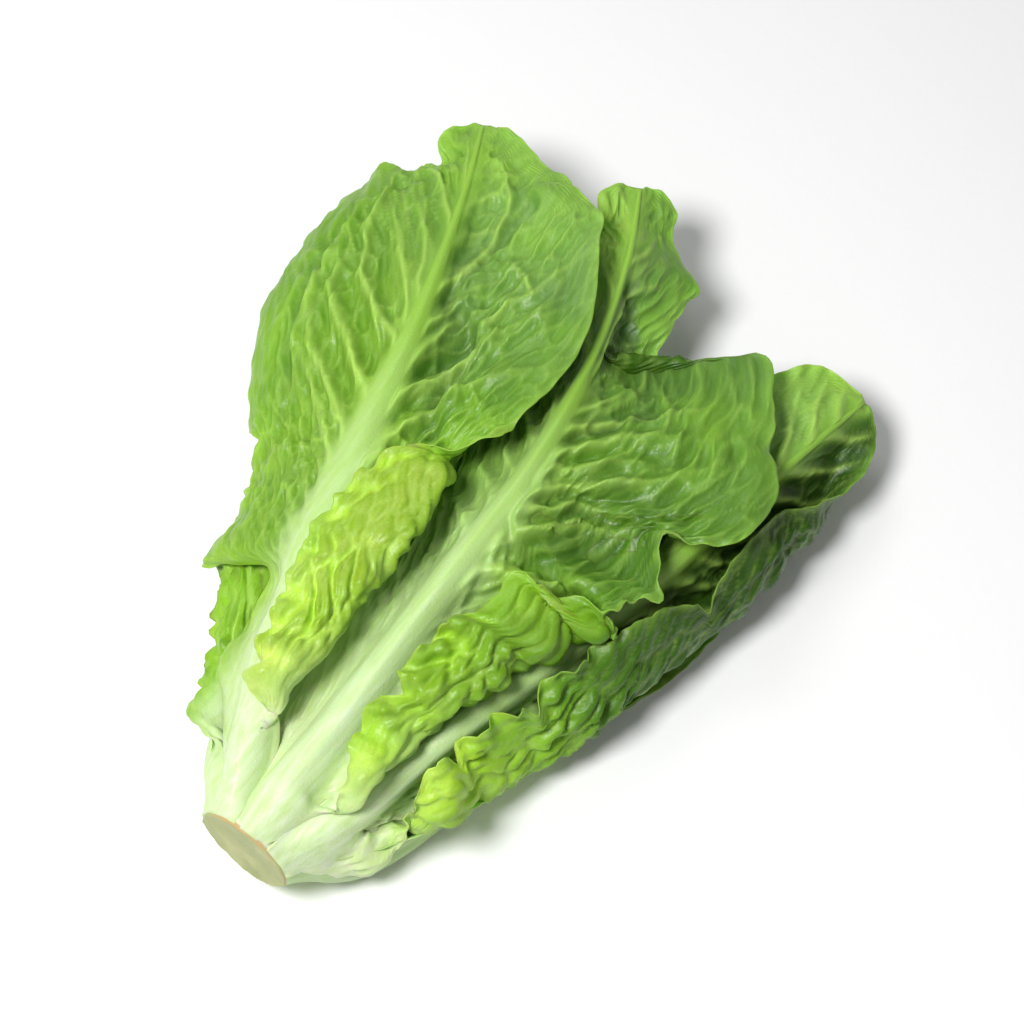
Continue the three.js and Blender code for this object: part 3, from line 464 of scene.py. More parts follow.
# The pale, smooth part of the blade beside the rib: its width at the base and half way up, in mm,
# on the left and on the right, and how strongly it shows. The bands are the leaf's own paleness with
# painted light and shade in them: the top leaf's wide left band lightens the groove that the fold
# above shades, and the low right leaf's weak band darkens its base as painted shade.
PALE_BANDS = {
    "outer_leaf_top_left": (18, 3, 20, 3, 1.0),
    "outer_leaf_top": (38, 17, 28, 5, 1.0),
    "outer_leaf_right": (22, 4, 30, 4, 1.0),
    "outer_leaf_low_right": (60, 14, 60, 14, 0.55),
    "outer_leaf_left": (11, 4, 7, 3, 0.8),
    "under": (40, 10, 40, 10, 0.85),
    "middle_leaf": (20, 5, 20, 5, 1.0),
    "heart_leaf": (16, 6, 16, 6, 1.0),
}

# The wax bloom on the outer leaves, with painted sheen added towards their tips, as a multiple of
# the material's own: at the base, and towards the tip on the left and on the right.
BLOOM_AND_SHEEN_AMOUNTS = {
    "outer_leaf_top_left": (0.8, 1.5, 2.8),
    "outer_leaf_top": (0.6, 2.8, 2.0),
    "outer_leaf_right": (0.5, 3.4, 0.2),
}

# The bunch inside: its half width and half height across the head, at even distances, how it drifts
# sideways and upwards, how it closes over the tips of its leaves, and how far half a leaf may go
# round it, in radians.
BUNCH_STEP = 50
BUNCH_HALF_WIDTH = [16, 28, 38, 47, 50, 46, 34]
BUNCH_HALF_HEIGHT = [16, 20, 23, 24, 21, 15, 8]
BUNCH_DRIFT, BUNCH_RISE = -0.045, 0.02
CLOSING_START, CLOSING = 0.8, 0.35
MOST_TURN = 2.2
# Its leaves: where they start in mm, how far out the rib lies as a share of the bunch, how far out one
# half runs, and the other one in, over the spacing between two ribs, that spacing in degrees, and how
# thick the leaves are beside an outer leaf. Then for each the rib's angle round the bunch, the length
# and the width.
BUNCH_LEAVES = {
    "middle_leaf": (14, 0.8, 0.11, 60, 0.6, [
        (150, 232, 94), (90, 240, 100), (30, 228, 96), (-30, 236, 92), (-90, 226, 94), (-150, 230, 92)]),
    "heart_leaf": (36, 0.44, 0.1, 90, 0.4, [
        (120, 196, 62), (30, 200, 64), (-60, 190, 60), (-150, 194, 60)]),
    "bud_leaf": (66, 0.12, 0.06, 180, 0.3, [(75, 146, 30), (-105, 140, 28)]),
}


def unit(v):
    return v / np.maximum(np.linalg.norm(v, axis=-1, keepdims=True), 1e-9)


def mix(a, b, t):
    return a + (b - a) * t


def step(low, high, x):
    """0 below low, 1 above high, smooth between."""
    t = np.clip((x - low) / (high - low), 0, 1)
    return t * t * (3 - 2 * t)


def bell(x, width):
    """1 where x is 0, falling off over the width to both sides."""
    return np.exp(-(x / width)**2)


def smooth(knots, values, at):
    """A smooth curve through values, numbers or points, at rising knots."""
    k, v = np.asarray(knots, float), np.asarray(values, float)
    flat = v.ndim == 1
    v = v[:, None] if flat else v
    gaps = np.diff(k)[:, None]
    slopes = np.diff(v, axis=0) / gaps
    tangent = np.empty_like(v)
    tangent[0], tangent[-1] = slopes[0], slopes[-1]
    tangent[1:-1] = (slopes[:-1] * gaps[1:] + slopes[1:] * gaps[:-1]) / (k[2:] - k[:-2])[:, None]
    i = np.clip(np.searchsorted(k, at, side="right") - 1, 0, len(k) - 2)
    span = gaps[i]
    t = ((at - k[i]) / span[:, 0])[:, None]
    out = ((2 * t**3 - 3 * t**2 + 1) * v[i] + (t**3 - 2 * t**2 + t) * span * tangent[i]
           + (3 * t**2 - 2 * t**3) * v[i + 1] + (t**3 - t**2) * span * tangent[i + 1])
    return out[:, 0] if flat else out


def lattice(ix, iy, seed):
    """A repeatable random number from 0 to 1 for each pair of whole numbers."""
    h = (ix.astype(np.int64) * 374761393 + iy.astype(np.int64) * 668265263 + seed * 69069) & 0xFFFFFFFF
    h = ((h ^ (h >> 13)) * 1274126177) & 0xFFFFFFFF
    h = ((h ^ (h >> 16)) * 2246822519) & 0xFFFFFFFF
    return (h ^ (h >> 15)) / 0xFFFFFFFF


def noise(x, y, seed):
    """Smooth noise from -1 to 1, with features about 1 across."""
    ix, iy = np.floor(x), np.floor(y)
    fx, fy = x - ix, y - iy
    fx, fy = fx * fx * (3 - 2 * fx), fy * fy * (3 - 2 * fy)
    low = mix(lattice(ix, iy, seed), lattice(ix + 1, iy, seed), fx)
    high = mix(lattice(ix, iy + 1, seed), lattice(ix + 1, iy + 1, seed), fx)
    return mix(low, high, fy) * 2 - 1


def cells(x, y, seed):
    """Cells about 1 across: 0 on the border between two of them, rising to 1 inside."""
    ix, iy = np.floor(x), np.floor(y)
    near = np.full(np.shape(x), 9.0)
    second = near.copy()
    for dx in (-1, 0, 1):
        for dy in (-1, 0, 1):
            cx, cy = ix + dx, iy + dy
            px = cx + 0.5 + 0.8 * (lattice(cx, cy, seed) - 0.5)
            py = cy + 0.5 + 0.8 * (lattice(cx, cy, seed + 7) - 0.5)
            d = np.hypot(px - x, py - y)
            second = np.minimum(second, np.maximum(near, d))
            near = np.minimum(near, d)
    return np.clip((second - near) / 0.7, 0, 1)


def rib_frames(leaf, s):
    knots = np.linspace(0, 1, len(leaf["rib"]))
    point = smooth(knots, leaf["rib"], s)
    small = 1e-3
    along = unit(smooth(knots, leaf["rib"], np.clip(s + small, 0, 1))
                 - smooth(knots, leaf["rib"], np.clip(s - small, 0, 1)))
    facing = np.radians(smooth(np.linspace(0, 1, len(leaf["face"])), leaf["face"], s))
    outward = np.stack([np.cos(facing), 0 * facing, np.sin(facing)], -1)
    outward = unit(outward - (outward * along).sum(-1, keepdims=True) * along)
    return point, along, outward, np.cross(along, outward)


def half_blade(leaf, side, s, frames):
    """The four control points of the curve from the rib to one margin, at each share."""
    point, along, outward, right = frames
    rows = np.array(leaf[side])
    rows = smooth(rows[:, 0], rows[:, 1:], s)
    margin, (leave, arrive, reach) = rows[:, :3], rows[:, 3:].T
    sideways = right if side == "right" else -right
    forward = ((margin - point) * along).sum(-1, keepdims=True) * along / 3

    def handle(angle):
        a = np.radians(angle)[:, None]
        return np.maximum(reach, 0.5)[:, None] * (np.cos(a) * sideways + np.sin(a) * outward)

    return point, point + handle(leave) + forward, margin - handle(arrive) - forward, margin


def bezier(curve, t):
    p, a, b, m = (c[:, None, :] for c in curve)
    t = t[..., None]
    return p * (1 - t)**3 + 3 * a * t * (1 - t)**2 + 3 * b * t**2 * (1 - t) + m * t**3


def spaced(leaf, count):
    """Shares of the rib, spaced so that the rib and the margins advance evenly."""
    s = np.linspace(0, 1, 400)
    frames = rib_frames(leaf, s)
    gaps = np.linalg.norm(np.diff(frames[0], axis=0), axis=-1)
    for side in SIDES:
        margin = half_blade(leaf, side, s, frames)[3]
        gaps = gaps + 0.7 * np.linalg.norm(np.diff(margin, axis=0), axis=-1)
    run = np.concatenate([[0], np.cumsum(gaps)])
    return np.interp(np.linspace(0, run[-1] * 0.9999, count), run, s) * TIP_SHARE


def running_length(points):
    return np.concatenate([[0], np.cumsum(np.linalg.norm(np.diff(points, axis=0), axis=-1))])


def grid_normals(grid):
    """Outward normals of a grid whose columns run from left to right and rows towards the tip."""
    across = np.gradient(grid, axis=1)
    along = np.gradient(grid, axis=0)
    return unit(np.cross(across, along))


def softened(grid):
    """A grid of heights with what is as fine as its rows taken out."""
    padded = np.pad(grid, ((1, 1), (0, 0)), mode="edge")
    return (padded[:-2] + 2 * grid + padded[2:]) / 4


def nearest_on(path, points):
    """How far points lie from a path, and how far along it the nearest place is, from 0 to 1."""
    distance = np.full(points.shape[:-1], np.inf)
    place = np.zeros(points.shape[:-1])
    for index, (start, end) in enumerate(zip(path[:-1], path[1:])):
        run = end - start
        t = np.clip((points - start) @ run / (run @ run), 0, 1)
        away = np.linalg.norm(points - start - t[..., None] * run, axis=-1)
        place = np.where(away < distance, (index + t) / (len(path) - 1), place)
        distance = np.minimum(distance, away)
    return distance, place


def drawn_veins(kind, face, s, seed):
    """The side veins of SIDE_VEINS on a face: how strong, how high in mm, and how far the nearest is."""
    columns = (face.shape[1] - 1) // 2
    strong = np.zeros(face.shape[:2])
    high = np.zeros(face.shape[:2])
    far = np.full(face.shape[:2], np.inf)
    for number, (side, height, width, course) in enumerate(SIDE_VEINS[kind]):
        sign = 1 if side == "right" else -1
        steps = np.linspace(0, len(course) - 1, 5 * len(course))
        share, out = smooth(np.arange(len(course)), np.array(course) / COURSE_UNITS, steps).T
        out = np.clip(out + 0.012 * noise(steps * 1.7, steps * 0, seed + 60 + number), 0, 1)
        row = np.interp(share, s, np.arange(len(s)))
        column = np.clip(columns + sign * out * columns, 0, 2 * columns - 1e-6)
        above = np.minimum(row.astype(int), len(s) - 2)
        before = column.astype(int)
        up, over = (row - above)[:, None], (column - before)[:, None]
        path = mix(mix(face[above, before], face[above, before + 1], over),
                   mix(face[above + 1, before], face[above + 1, before + 1], over), up)
        away, place = nearest_on(path, face)
        fading = (1 - place)**0.6
        profile = bell(away, width * (0.35 + 0.65 * fading)) * (0.25 + 0.75 * fading)
        high = np.where(np.abs(height * profile) > np.abs(high), height * profile, high)
        if height > 0:
            strong = np.maximum(strong, profile)
            far = np.minimum(far, away)
    return strong, high, far


class Blade:
    """A leaf as a grid of points: its rows run along the rib, its columns from margin to margin."""

    def __init__(self, leaf, kind, seed, heft):
        rows, columns = MESH_SIZES[kind]
        self.kind, self.seed, self.heft = kind, seed, heft
        self.style = np.array(STYLES[kind]) / STYLE_UNITS
        self.s = spaced(leaf, rows)
        frames = rib_frames(leaf, self.s)
        left, right = (self.half(side, half_blade(leaf, side, self.s, frames), columns) for side in SIDES)
        self.face = np.concatenate([left[0][:, :0:-1], right[0]], 1)
        offset = np.concatenate([-left[1][:, :0:-1], right[1]], 1)
        if heft == 1.0:      # an outer leaf is cut through with the stem
            self.face[..., 1] -= BASE_REACH * np.maximum(0, 1 - self.s / BASE_SHARE)[:, None]
        self.low = self.face[..., 2] < FLAT_BELOW
        self.face[..., 2] = np.where(self.low, 0, self.face[..., 2])

        # Where each point lies on the leaf, in mm and as a share of its half.
        self.is_right = offset >= 0
        self.side_seed = np.where(self.is_right, 0, 50)
        self.length, self.edge_run, cut = (
            np.where(self.is_right, right[i][:, None], left[i][:, None]) for i in (2, 3, 4))
        self.reach = np.abs(offset)
        self.outwards = self.reach / self.length
        self.along = running_length(frames[0])[:, None] + 0 * offset
        self.to_margin = np.minimum(self.length - cut - self.reach, (self.along[-1:] - self.along) * 1.2)
        self.side_share = np.clip(0.5 + offset / SIDES_MEET, 0, 1)
        self.tone, self.pucker, self.ridge, self.ruffle = (self.look(column) for column in (1, 3, 5, 7))
        self.rib_half = np.interp(self.s, *RIB_WIDTHS)[:, None] * mix(1, heft, 0.5)
        self.on_rib = 1 - step(0.75 * self.rib_half, 1.15 * self.rib_half, self.reach)
        self.from_rib = step(self.rib_half, self.rib_half + 7, self.reach)

    def styled(self, column):
        """A pair of columns of the style, for the left half and the right half, at each row."""
        return [np.interp(self.s, self.style[:, 0], self.style[:, column + i]) for i in (0, 1)]

    def look(self, column):
        """The same over the whole leaf; the halves blend into each other across the rib."""
        left, right = self.styled(column)
        return mix(left[:, None], right[:, None], self.side_share)

    def mottle(self, number, size, across=None):
        """Smooth noise over the blade. Its features have a size in mm, or one along and one across."""
        return noise(self.along / size, self.reach / (across or size) + self.side_seed, self.seed + number)

    def on_side(self, side):
        return self.is_right == (side == "right")

    def half(self, side, curve, columns):
        """One half of the smooth face with its margin notched, sampled evenly from the rib outwards;
        how far its points are from the rib; the half's width, the run of its margin and the notches."""
        index = SIDES.index(side)
        edge = running_length(curve[3])
        wobble = noise(edge / 17, edge * 0, self.seed + 31 + index)
        uneven = 0.5 + 0.5 * noise(edge / 9, edge * 0 + 5, self.seed + 41 + index)
        scallop = 1 - np.abs(np.sin(np.pi * (edge / SCALLOP_PITCH + 0.6 * wobble)))
        nick = 1 - np.abs(np.sin(np.pi * (edge / NICK_PITCH + 0.9 * wobble)))
        cut = self.styled(9)[index] * (0.55 * scallop**1.5 + 0.32 * nick**2 * uneven + 0.25 * uneven)
        fine = np.linspace(0, 1, 60)
        path = bezier(curve, np.broadcast_to(fine, (len(self.s), len(fine))))
        run = np.stack([running_length(across) for across in path])
        length = np.maximum(run[:, -1], 0.5)
        for notch_side, place, half_width, depth in NOTCHES.get(self.kind, ()):
            if notch_side == side:
                cut = cut + depth * np.maximum(0, 1 - np.abs(self.s - place) / half_width)
        cut = np.minimum(cut, 0.65 * length)
        share = np.linspace(0, 1, columns + 1)
        gather = np.minimum(4, 0.9 * length / np.maximum(cut, 0.01))[:, None]      # never folds back
        wanted = share * length[:, None] - share**gather * cut[:, None]
        t = np.stack([np.interp(wanted[i], run[i], fine) for i in range(len(run))])
        return bezier(curve, t), wanted, length, edge, cut

    def side_veins(self):
        """Where the vein nearest each point starts along the rib, then how strong the veins are, how
        high they stand in mm, and how much of the blade is between them."""
        # They leave the rib forwards, wander a little and fade out near the margin.
        wander = 8 * self.mottle(1, 36) + 3 * self.mottle(2, 14)
        start = np.maximum(self.along - VEIN_SWEEP * self.reach * (1 + 0.35 * self.outwards) + wander, 0)
        spacing = FIRST_GAP + GAP_GROWTH * start
        turn = np.log1p(GAP_GROWTH * start / FIRST_GAP) / GAP_GROWTH + 0.5 * self.is_right
        off_vein = np.abs(turn - np.round(turn)) * spacing * 0.65
        strength = 0.5 + 0.5 * lattice(np.round(turn), self.side_seed, self.seed + 3)
        width = 0.7 + 2.3 * np.exp(-np.maximum(self.reach - self.rib_half, 0) / 12)
        vein = (bell(off_vein, width) * (1 - step(0.55, 0.95, self.outwards)) * strength
                * step(0.08, 0.3, self.s)[:, None] * (1 - self.on_rib))
        height = 1.5 * vein * (1 - 0.6 * self.outwards)
        between = 1 - bell(off_vein, 0.22 * spacing)
        if self.kind in SIDE_VEINS:      # these stand out, the others between them are slight
            strong, high, far = drawn_veins(self.kind, self.face, self.s, self.seed)
            vein = np.maximum(0.4 * vein, strong * (1 - self.on_rib))
            height = 0.35 * height + 1.3 * high * (1 - self.on_rib)
            between = 0.4 * between + 1.3 * (1 - bell(far, 5))
        return start, vein, height, between

    def hems(self):
        """How much of the blistering is left beside the hems, and their grooves."""
        left_over, groove = 1, 0 * self.reach
        for side, first, last, width in HEMS.get(self.kind, ()):
            hem = (step(first, first + 0.08, self.s) * (1 - step(last - 0.08, last, self.s)))[:, None]
            hem = hem * self.on_side(side)
            width = width * (1 + 0.25 * self.mottle(22, 40))
            left_over = left_over * (1 - 0.75 * hem * (1 - step(0.5 * width, 1.1 * width, self.to_margin)))
            groove = groove + hem * bell(self.to_margin - width, 3)
        return left_over, groove

    def blisters(self, vein_start):
        """The blade's heights between the veins, how tender it is, and the net of fine veins and the
        finest cells' borders."""
        # Three sizes of cells, whose borders all wander in the same crooked way.
        across = self.reach + 4.5 * self.mottle(4, 12) + 1.2 * self.mottle(15, 5)
        forward = (0.7 * vein_start + 0.3 * self.along + 4.5 * self.mottle(14, 12)
                   + 1.2 * self.mottle(16, 5))
        big, small, tiny = (cells(across / wide + self.side_seed, forward / long, self.seed + number)
                            for wide, long, number in BLISTERS)
        tender = np.clip(1.5 - 2.5 * self.tone, 0, 1)
        net = 0.8 * bell(big, 0.16) + 0.35 * bell(small, 0.2)
        left_over, groove = self.hems()
        patch = (0.85 + 0.75 * self.mottle(8, 22)) * left_over
        rise = self.pucker * self.from_rib * patch
        creases = (1 - np.abs(self.mottle(18, 11)))**3 + 0.4 * (1 - np.abs(self.mottle(19, 6)))**2
        lift = (rise * (1.7 * (0.6 - 0.9 * step(0, 0.8, big) - 0.5 * step(0, 0.8, small)) + creases - 0.4)
                - rise * 0.4 * (0.4 + 0.6 * tender) * (step(0, 0.7, tiny) - 0.5) - 1.8 * groove)
        return lift, tender, net, tiny

    def plates(self):
        """The heights of the raised plates, and the painted light on them and painted shade in the valleys
        at their feet.
        """
        lift, painted_light_and_shade = 0 * self.reach, 0 * self.reach
        for side, height, slope, painted_light, course in PLATES.get(self.kind, ()):
            shares, out = (np.array(course) / COURSE_UNITS).T
            edge = np.interp(self.s, shares, out)[:, None] * self.length
            beyond = self.reach - edge + 2.2 * self.mottle(23, 8)
            there = (step(shares[0] - 0.04, shares[0] + 0.02, self.s)
                     * (1 - step(shares[-1] - 0.02, shares[-1] + 0.05, self.s)))
            there = there[:, None] * self.on_side(side)
            slant = mix(1, 0.3, np.clip(beyond / np.maximum(self.length - edge, 1), 0, 1))
            risen = step(-slope, 0, beyond)
            lit = step(-0.3 * slope, 0.5 * slope, beyond)
            valley = bell(beyond + 1.3 * slope, 6) * self.from_rib
            lift = lift + there * (height * risen * slant - 2.0 * valley)
            # Painted light on the raised part, and painted shade in the valley below its edge.
            painted_light_and_shade = painted_light_and_shade + there * (painted_light * lit - (0.2 + 0.5 * painted_light) * valley * (1 - lit))
        return lift, painted_light_and_shade

    def ruffles(self):
        """The waves along the margins."""
        wave = 0
        for size, pitch, sway, wide, long, number in RUFFLES:
            drift = noise(self.edge_run / wide, self.reach / long + self.side_seed, self.seed + number)
            wave = wave + size * np.sin(2 * np.pi * (self.edge_run / pitch + sway * drift))
        near_margin = np.exp(-np.maximum(self.to_margin, 0) / 9.0) * self.outwards
        swell = 0.75 + 0.6 * noise(self.edge_run / 34, self.side_seed, self.seed + 20)
        return 1.2 * self.ruffle * wave * near_margin * swell

    def keel(self):
        """How far the rib stands proud outside."""
        height = mix(*KEEL_HEIGHT, np.clip(self.s / 0.8, 0, 1))[:, None] * self.heft
        height = height * step(0.0, 0.06, self.s)[:, None]
        return height * np.maximum(0, 1 - (self.reach / (1.2 * self.rib_half))**3)**1.5

    def thickness(self):
        taper = np.clip(self.s / RIB_TAPER_END, 0, 1)[:, None]
        swell = np.maximum(0, 1 - (self.reach / (RIB_FLANK * mix(*RIB_HALF_WIDTH, taper)))**2)**2
        thin = mix(MARGIN_THICKNESS, BLADE_THICKNESS, step(0, 5, self.to_margin))
        return mix(thin, mix(*RIB_THICKNESS, taper) * self.heft, swell)

    def pale(self):
        """Where the blade is pale: on the rib, beside it and all over the leaf's base."""
        left_base, left_half_way, right_base, right_half_way, strength = PALE_BANDS[self.kind]
        halfway = np.clip(self.s / 0.5, 0, 1)[:, None]
        width = mix(mix(left_base, left_half_way, halfway), mix(right_base, right_half_way, halfway),
                    self.is_right)
        ragged = width * 0.25 * self.mottle(13, 12, 10)
        beside = np.maximum(self.reach - 0.8 * self.rib_half + ragged, 0)
        fading = 1 - step(0.3, 0.8, self.s)[:, None]
        pale = np.maximum(self.on_rib * mix(0.7, 1, fading),
                          bell(beside, width) * mix(0.25, 0.85, fading))
        return np.maximum(pale, 1 - step(0.03, 0.16, self.s)[:, None]) * strength


def relief(leaf, kind, seed, heft):
    """The outer and inner faces of a leaf as grids of points, and what its material reads."""
    blade = Blade(leaf, kind, seed, heft)
    reach, outwards, s = blade.reach, blade.outwards, blade.s
    vein_start, vein, vein_height, between = blade.side_veins()
    lift, tender, net, tiny = blade.blisters(vein_start)
    fine_veins = blade.from_rib * np.minimum(blade.pucker, 1)

    # The blade sinks between the side veins near the rib, rises to the plates and swings in slow waves.
    lift = lift - 2.2 * blade.ridge * between * blade.from_rib * (1 - step(0.4, 0.9, outwards))
    plate_lift, painted_light_and_shade = blade.plates()
    slow = blade.mottle(9, 42, 30) + 0.5 * blade.mottle(10, 19, 16)
    swing = 2.2 * slow * step(6, 40, reach) * (0.3 + 0.25 * (blade.pucker + blade.ruffle))
    lift = lift + plate_lift + swing + blade.ruffles()
    for side, first, last, depth in TUCKS.get(kind, ()):
        held = (1 - step(first, last, s))[:, None] * blade.on_side(side)
        lift = lift * (1 - 0.8 * held) - depth * held * step(0, 0.04, s)[:, None] * outwards**2

    raised = (blade.keel() + vein_height + 0.3 * net * fine_veins) * step(0, 4, blade.to_margin)
    raised, lift = softened(raised), softened(lift)

    normal = grid_normals(blade.face)
    for _ in range(NORMAL_PASSES):
        padded = np.pad(normal, ((1, 1), (1, 1), (0, 0)), mode="edge")
        normal = unit(padded[:-2, 1:-1] + padded[2:, 1:-1] + padded[1:-1, :-2] + padded[1:-1, 2:]
                      + normal * 2)
    middle = blade.face + normal * lift[..., None]
    outer = middle + normal * raised[..., None]
    inner = middle - normal * (blade.thickness() * (1 - 0.35 * np.minimum(vein, 1)))[..., None]
    for face in (outer, inner):
        face[..., 2] -= CREST_PRESS * np.maximum(face[..., 2] - CREST, 0)
    outer[..., 2] = np.where(blade.low, 0, np.maximum(outer[..., 2], 0))
    inner[..., 2] = np.maximum(inner[..., 2], np.where(blade.low, FLAT_THICKNESS, LEAST_GAP))

    at_base, left_tip, right_tip = BLOOM_AND_SHEEN_AMOUNTS.get(kind, (1, 1, 1))
    looks = {
        "pale": blade.pale(),
        "vein": np.clip(vein * mix(0.95, 0.5, outwards)
                        + ((0.3 + 0.3 * tender) * net + 0.35 * tender * bell(tiny, 0.25))
                        * fine_veins, 0, 1),
        # The tone takes in the plates' painted light and painted shade.
        "tone": blade.tone + 0.08 * slow + 0.05 * blade.mottle(21, 7) - painted_light_and_shade,
        # The next look is painted shade: it darkens the blade where it lies low, in its hollows and
        # creases.
        "hollow_shade": np.clip(0.5 - 0.28 * (lift + 1.6 * np.minimum(vein_height, 0)), 0, 1),
        "margin": np.exp(-np.maximum(blade.to_margin, 0) / 2.0),
        "height": s[:, None] + 0 * reach,
        # The wax bloom's amount, raised towards the tips as painted sheen.
        "bloom_and_sheen": mix(at_base, mix(left_tip, right_tip, blade.side_share), step(0.5, 0.85, s)[:, None]),
    }
    return outer, inner, looks


def add_object(name, data):
    thing = bpy.data.objects.new(name, data)
    bpy.context.scene.collection.objects.link(thing)
    return thing


def set_looks(mesh, looks):
    """Smooth shading, and a value at each point for each of the looks."""
    mesh.shade_smooth()
    for key, values in looks.items():
        mesh.attributes.new(key, "FLOAT", "POINT").data.foreach_set("value", values.astype(np.float32))


def dress(piece, node, material):
    """Puts a piece in place of its CAD node."""
    piece.data.materials.append(material)
    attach(piece, "root")
    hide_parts(node)


def closed_mesh(name, outer, inner, looks):
    """A closed solid between two faces, with the looks as attributes of its points."""
    rows, columns = outer.shape[:2]
    points = np.concatenate([outer.reshape(-1, 3), inner.reshape(-1, 3)]) * MM + HEAD_ORIGIN
    index = np.arange(rows * columns).reshape(rows, columns)
    under = index + rows * columns

    def quads(a, b, c, d):
        return np.stack([x.ravel() for x in (a, b, c, d)], -1)

    faces = np.concatenate([
        quads(index[:-1, :-1], index[:-1, 1:], index[1:, 1:], index[1:, :-1]),
        quads(under[:-1, :-1], under[1:, :-1], under[1:, 1:], under[:-1, 1:]),
        quads(index[:-1, 0], index[1:, 0], under[1:, 0], under[:-1, 0]),
        quads(index[1:, -1], index[:-1, -1], under[:-1, -1], under[1:, -1]),
        quads(index[0, 1:], index[0, :-1], under[0, :-1], under[0, 1:]),
        quads(index[-1, :-1], index[-1, 1:], under[-1, 1:], under[-1, :-1]),
    ])
    a, b, c, d = faces.T

    def apart(p, q):
        return np.linalg.norm(points[p] - points[q], axis=-1)

    across = apart(b, d) < apart(a, c)      # each is cut in two along its shorter diagonal
    halves = np.where(across, [a, b, d], [a, b, c]), np.where(across, [b, c, d], [a, c, d])
    faces = np.ascontiguousarray(np.concatenate(halves, 1).T, dtype=np.int32)
    mesh = bpy.data.meshes.new(name)
    mesh.vertices.add(len(points))
    mesh.vertices.foreach_set("co", points.astype(np.float32).ravel())
    mesh.loops.add(faces.size)
    mesh.loops.foreach_set("vertex_index", faces.ravel())
    mesh.polygons.add(len(faces))
    mesh.polygons.foreach_set("loop_start", np.arange(0, faces.size, 3, dtype=np.int32))
    mesh.update(calc_edges=True)
    both_faces = {key: np.tile(value.ravel(), 2) for key, value in looks.items()}
    set_looks(mesh, {**both_faces, "inside": np.repeat([0.0, 1.0], rows * columns)})
    return add_object(name, mesh)


def bunch_at(y):
    steps = np.arange(len(BUNCH_HALF_WIDTH)) * BUNCH_STEP
    return (BUNCH_DRIFT * y, AXIS_HEIGHT + BUNCH_RISE * y,
            np.interp(y, steps, BUNCH_HALF_WIDTH), np.interp(y, steps, BUNCH_HALF_HEIGHT))


def wrapped_leaf(angle, length, width, start, ring, pitch, spacing):
    """The rib and margins of a leaf wrapped round the bunch, as in the CAD model."""
    rib = math.radians(angle)

    def point_at(share, turn, lift):
        y = start + length * share
        x, z, half_width, half_height = bunch_at(y)
        size = (ring + lift) * (1 - CLOSING * max(0, (share - CLOSING_START) / (1 - CLOSING_START))**2)
        return np.array([x + half_width * size * math.cos(turn), y,
                         z + half_height * size * math.sin(turn)])

    def facing_at(share, turn):
        half_width, half_height = bunch_at(start + length * share)[2:]
        return math.atan2(math.sin(turn) / half_height, math.cos(turn) / half_width)

    def margin(share, sign):
        wanted = np.interp(share, [0, 0.15, 0.4, 0.7, 0.9, 1],
                           [9, 14, 0.36 * width, 0.5 * width, 0.31 * width, 1])
        middle = last = point_at(share, rib, 0)
        turn, run = rib, 0.0
        while run < wanted and abs(turn - rib) < MOST_TURN:
            turn += sign * 0.02
            here = point_at(share, turn, -sign * pitch * abs(turn - rib) / math.radians(spacing))
            run += np.linalg.norm(here - last)
            last = here
        swing = facing_at(share, turn) - facing_at(share, rib)
        bend = abs(math.atan2(math.sin(swing), math.cos(swing)))
        chord = np.linalg.norm(last - middle)
        reach = chord / 3 if bend < 0.05 else chord * 2 / 3 * math.tan(bend / 4) / math.sin(bend / 2)
        return share, *last, 0, -math.degrees(bend), max(reach, 1)

    shares = np.linspace(0, 1, 9)
    return {
        "face": [math.degrees(facing_at(share, rib)) for share in shares],
        "rib": [point_at(share, rib, 0) for share in shares],
        "left": [margin(share, 1) for share in shares],
        "right": [margin(share, -1) for share in shares],
    }


# Materials.
def srgb(r, g, b):
    """A linear colour from one written in 0 to 255."""
    def linear(c):
        c /= 255
        return c / 12.92 if c <= 0.04045 else ((c + 0.055) / 1.055) ** 2.4
    return (linear(r), linear(g), linear(b), 1.0)


# The blade from tender to deep green, the deepest greens also serving as painted shade, and the rib.
OUTER_TONES = [(0.0, srgb(206, 236, 104)), (0.2, srgb(172, 216, 50)), (0.42, srgb(134, 184, 34)),
               (0.62, srgb(98, 148, 22)), (0.82, srgb(60, 106, 10)), (1.0, srgb(28, 62, 4))]
HEART_TONES = [(0.0, srgb(240, 244, 176)), (0.3, srgb(222, 236, 136)), (0.7, srgb(176, 214, 84)),
               (1.0, srgb(130, 180, 60))]
RIB_TONES = [(0.3, srgb(200, 224, 158)), (0.55, srgb(214, 233, 184)), (0.8, srgb(226, 240, 208))]
# The second of these colours is painted shade for the blade's hollows and creases; the third is the wax
# bloom's colour, which also paints sheen.
RIB_TIP, HOLLOW_SHADE, WAX_AND_SHEEN = srgb(158, 204, 78), srgb(56, 98, 4), srgb(150, 192, 112)
VEINS, MARGINS = srgb(180, 218, 104), srgb(172, 214, 92)
# The stem's cut face, its side and its browned rim.
CUT_TONES = [(0.3, srgb(158, 166, 108)), (0.5, srgb(170, 176, 118)), (0.7, srgb(188, 190, 136))]
STEM_SIDE_TONES = [(0.3, srgb(222, 230, 182)), (0.7, srgb(240, 243, 210))]
BROWNED = srgb(198, 158, 104)


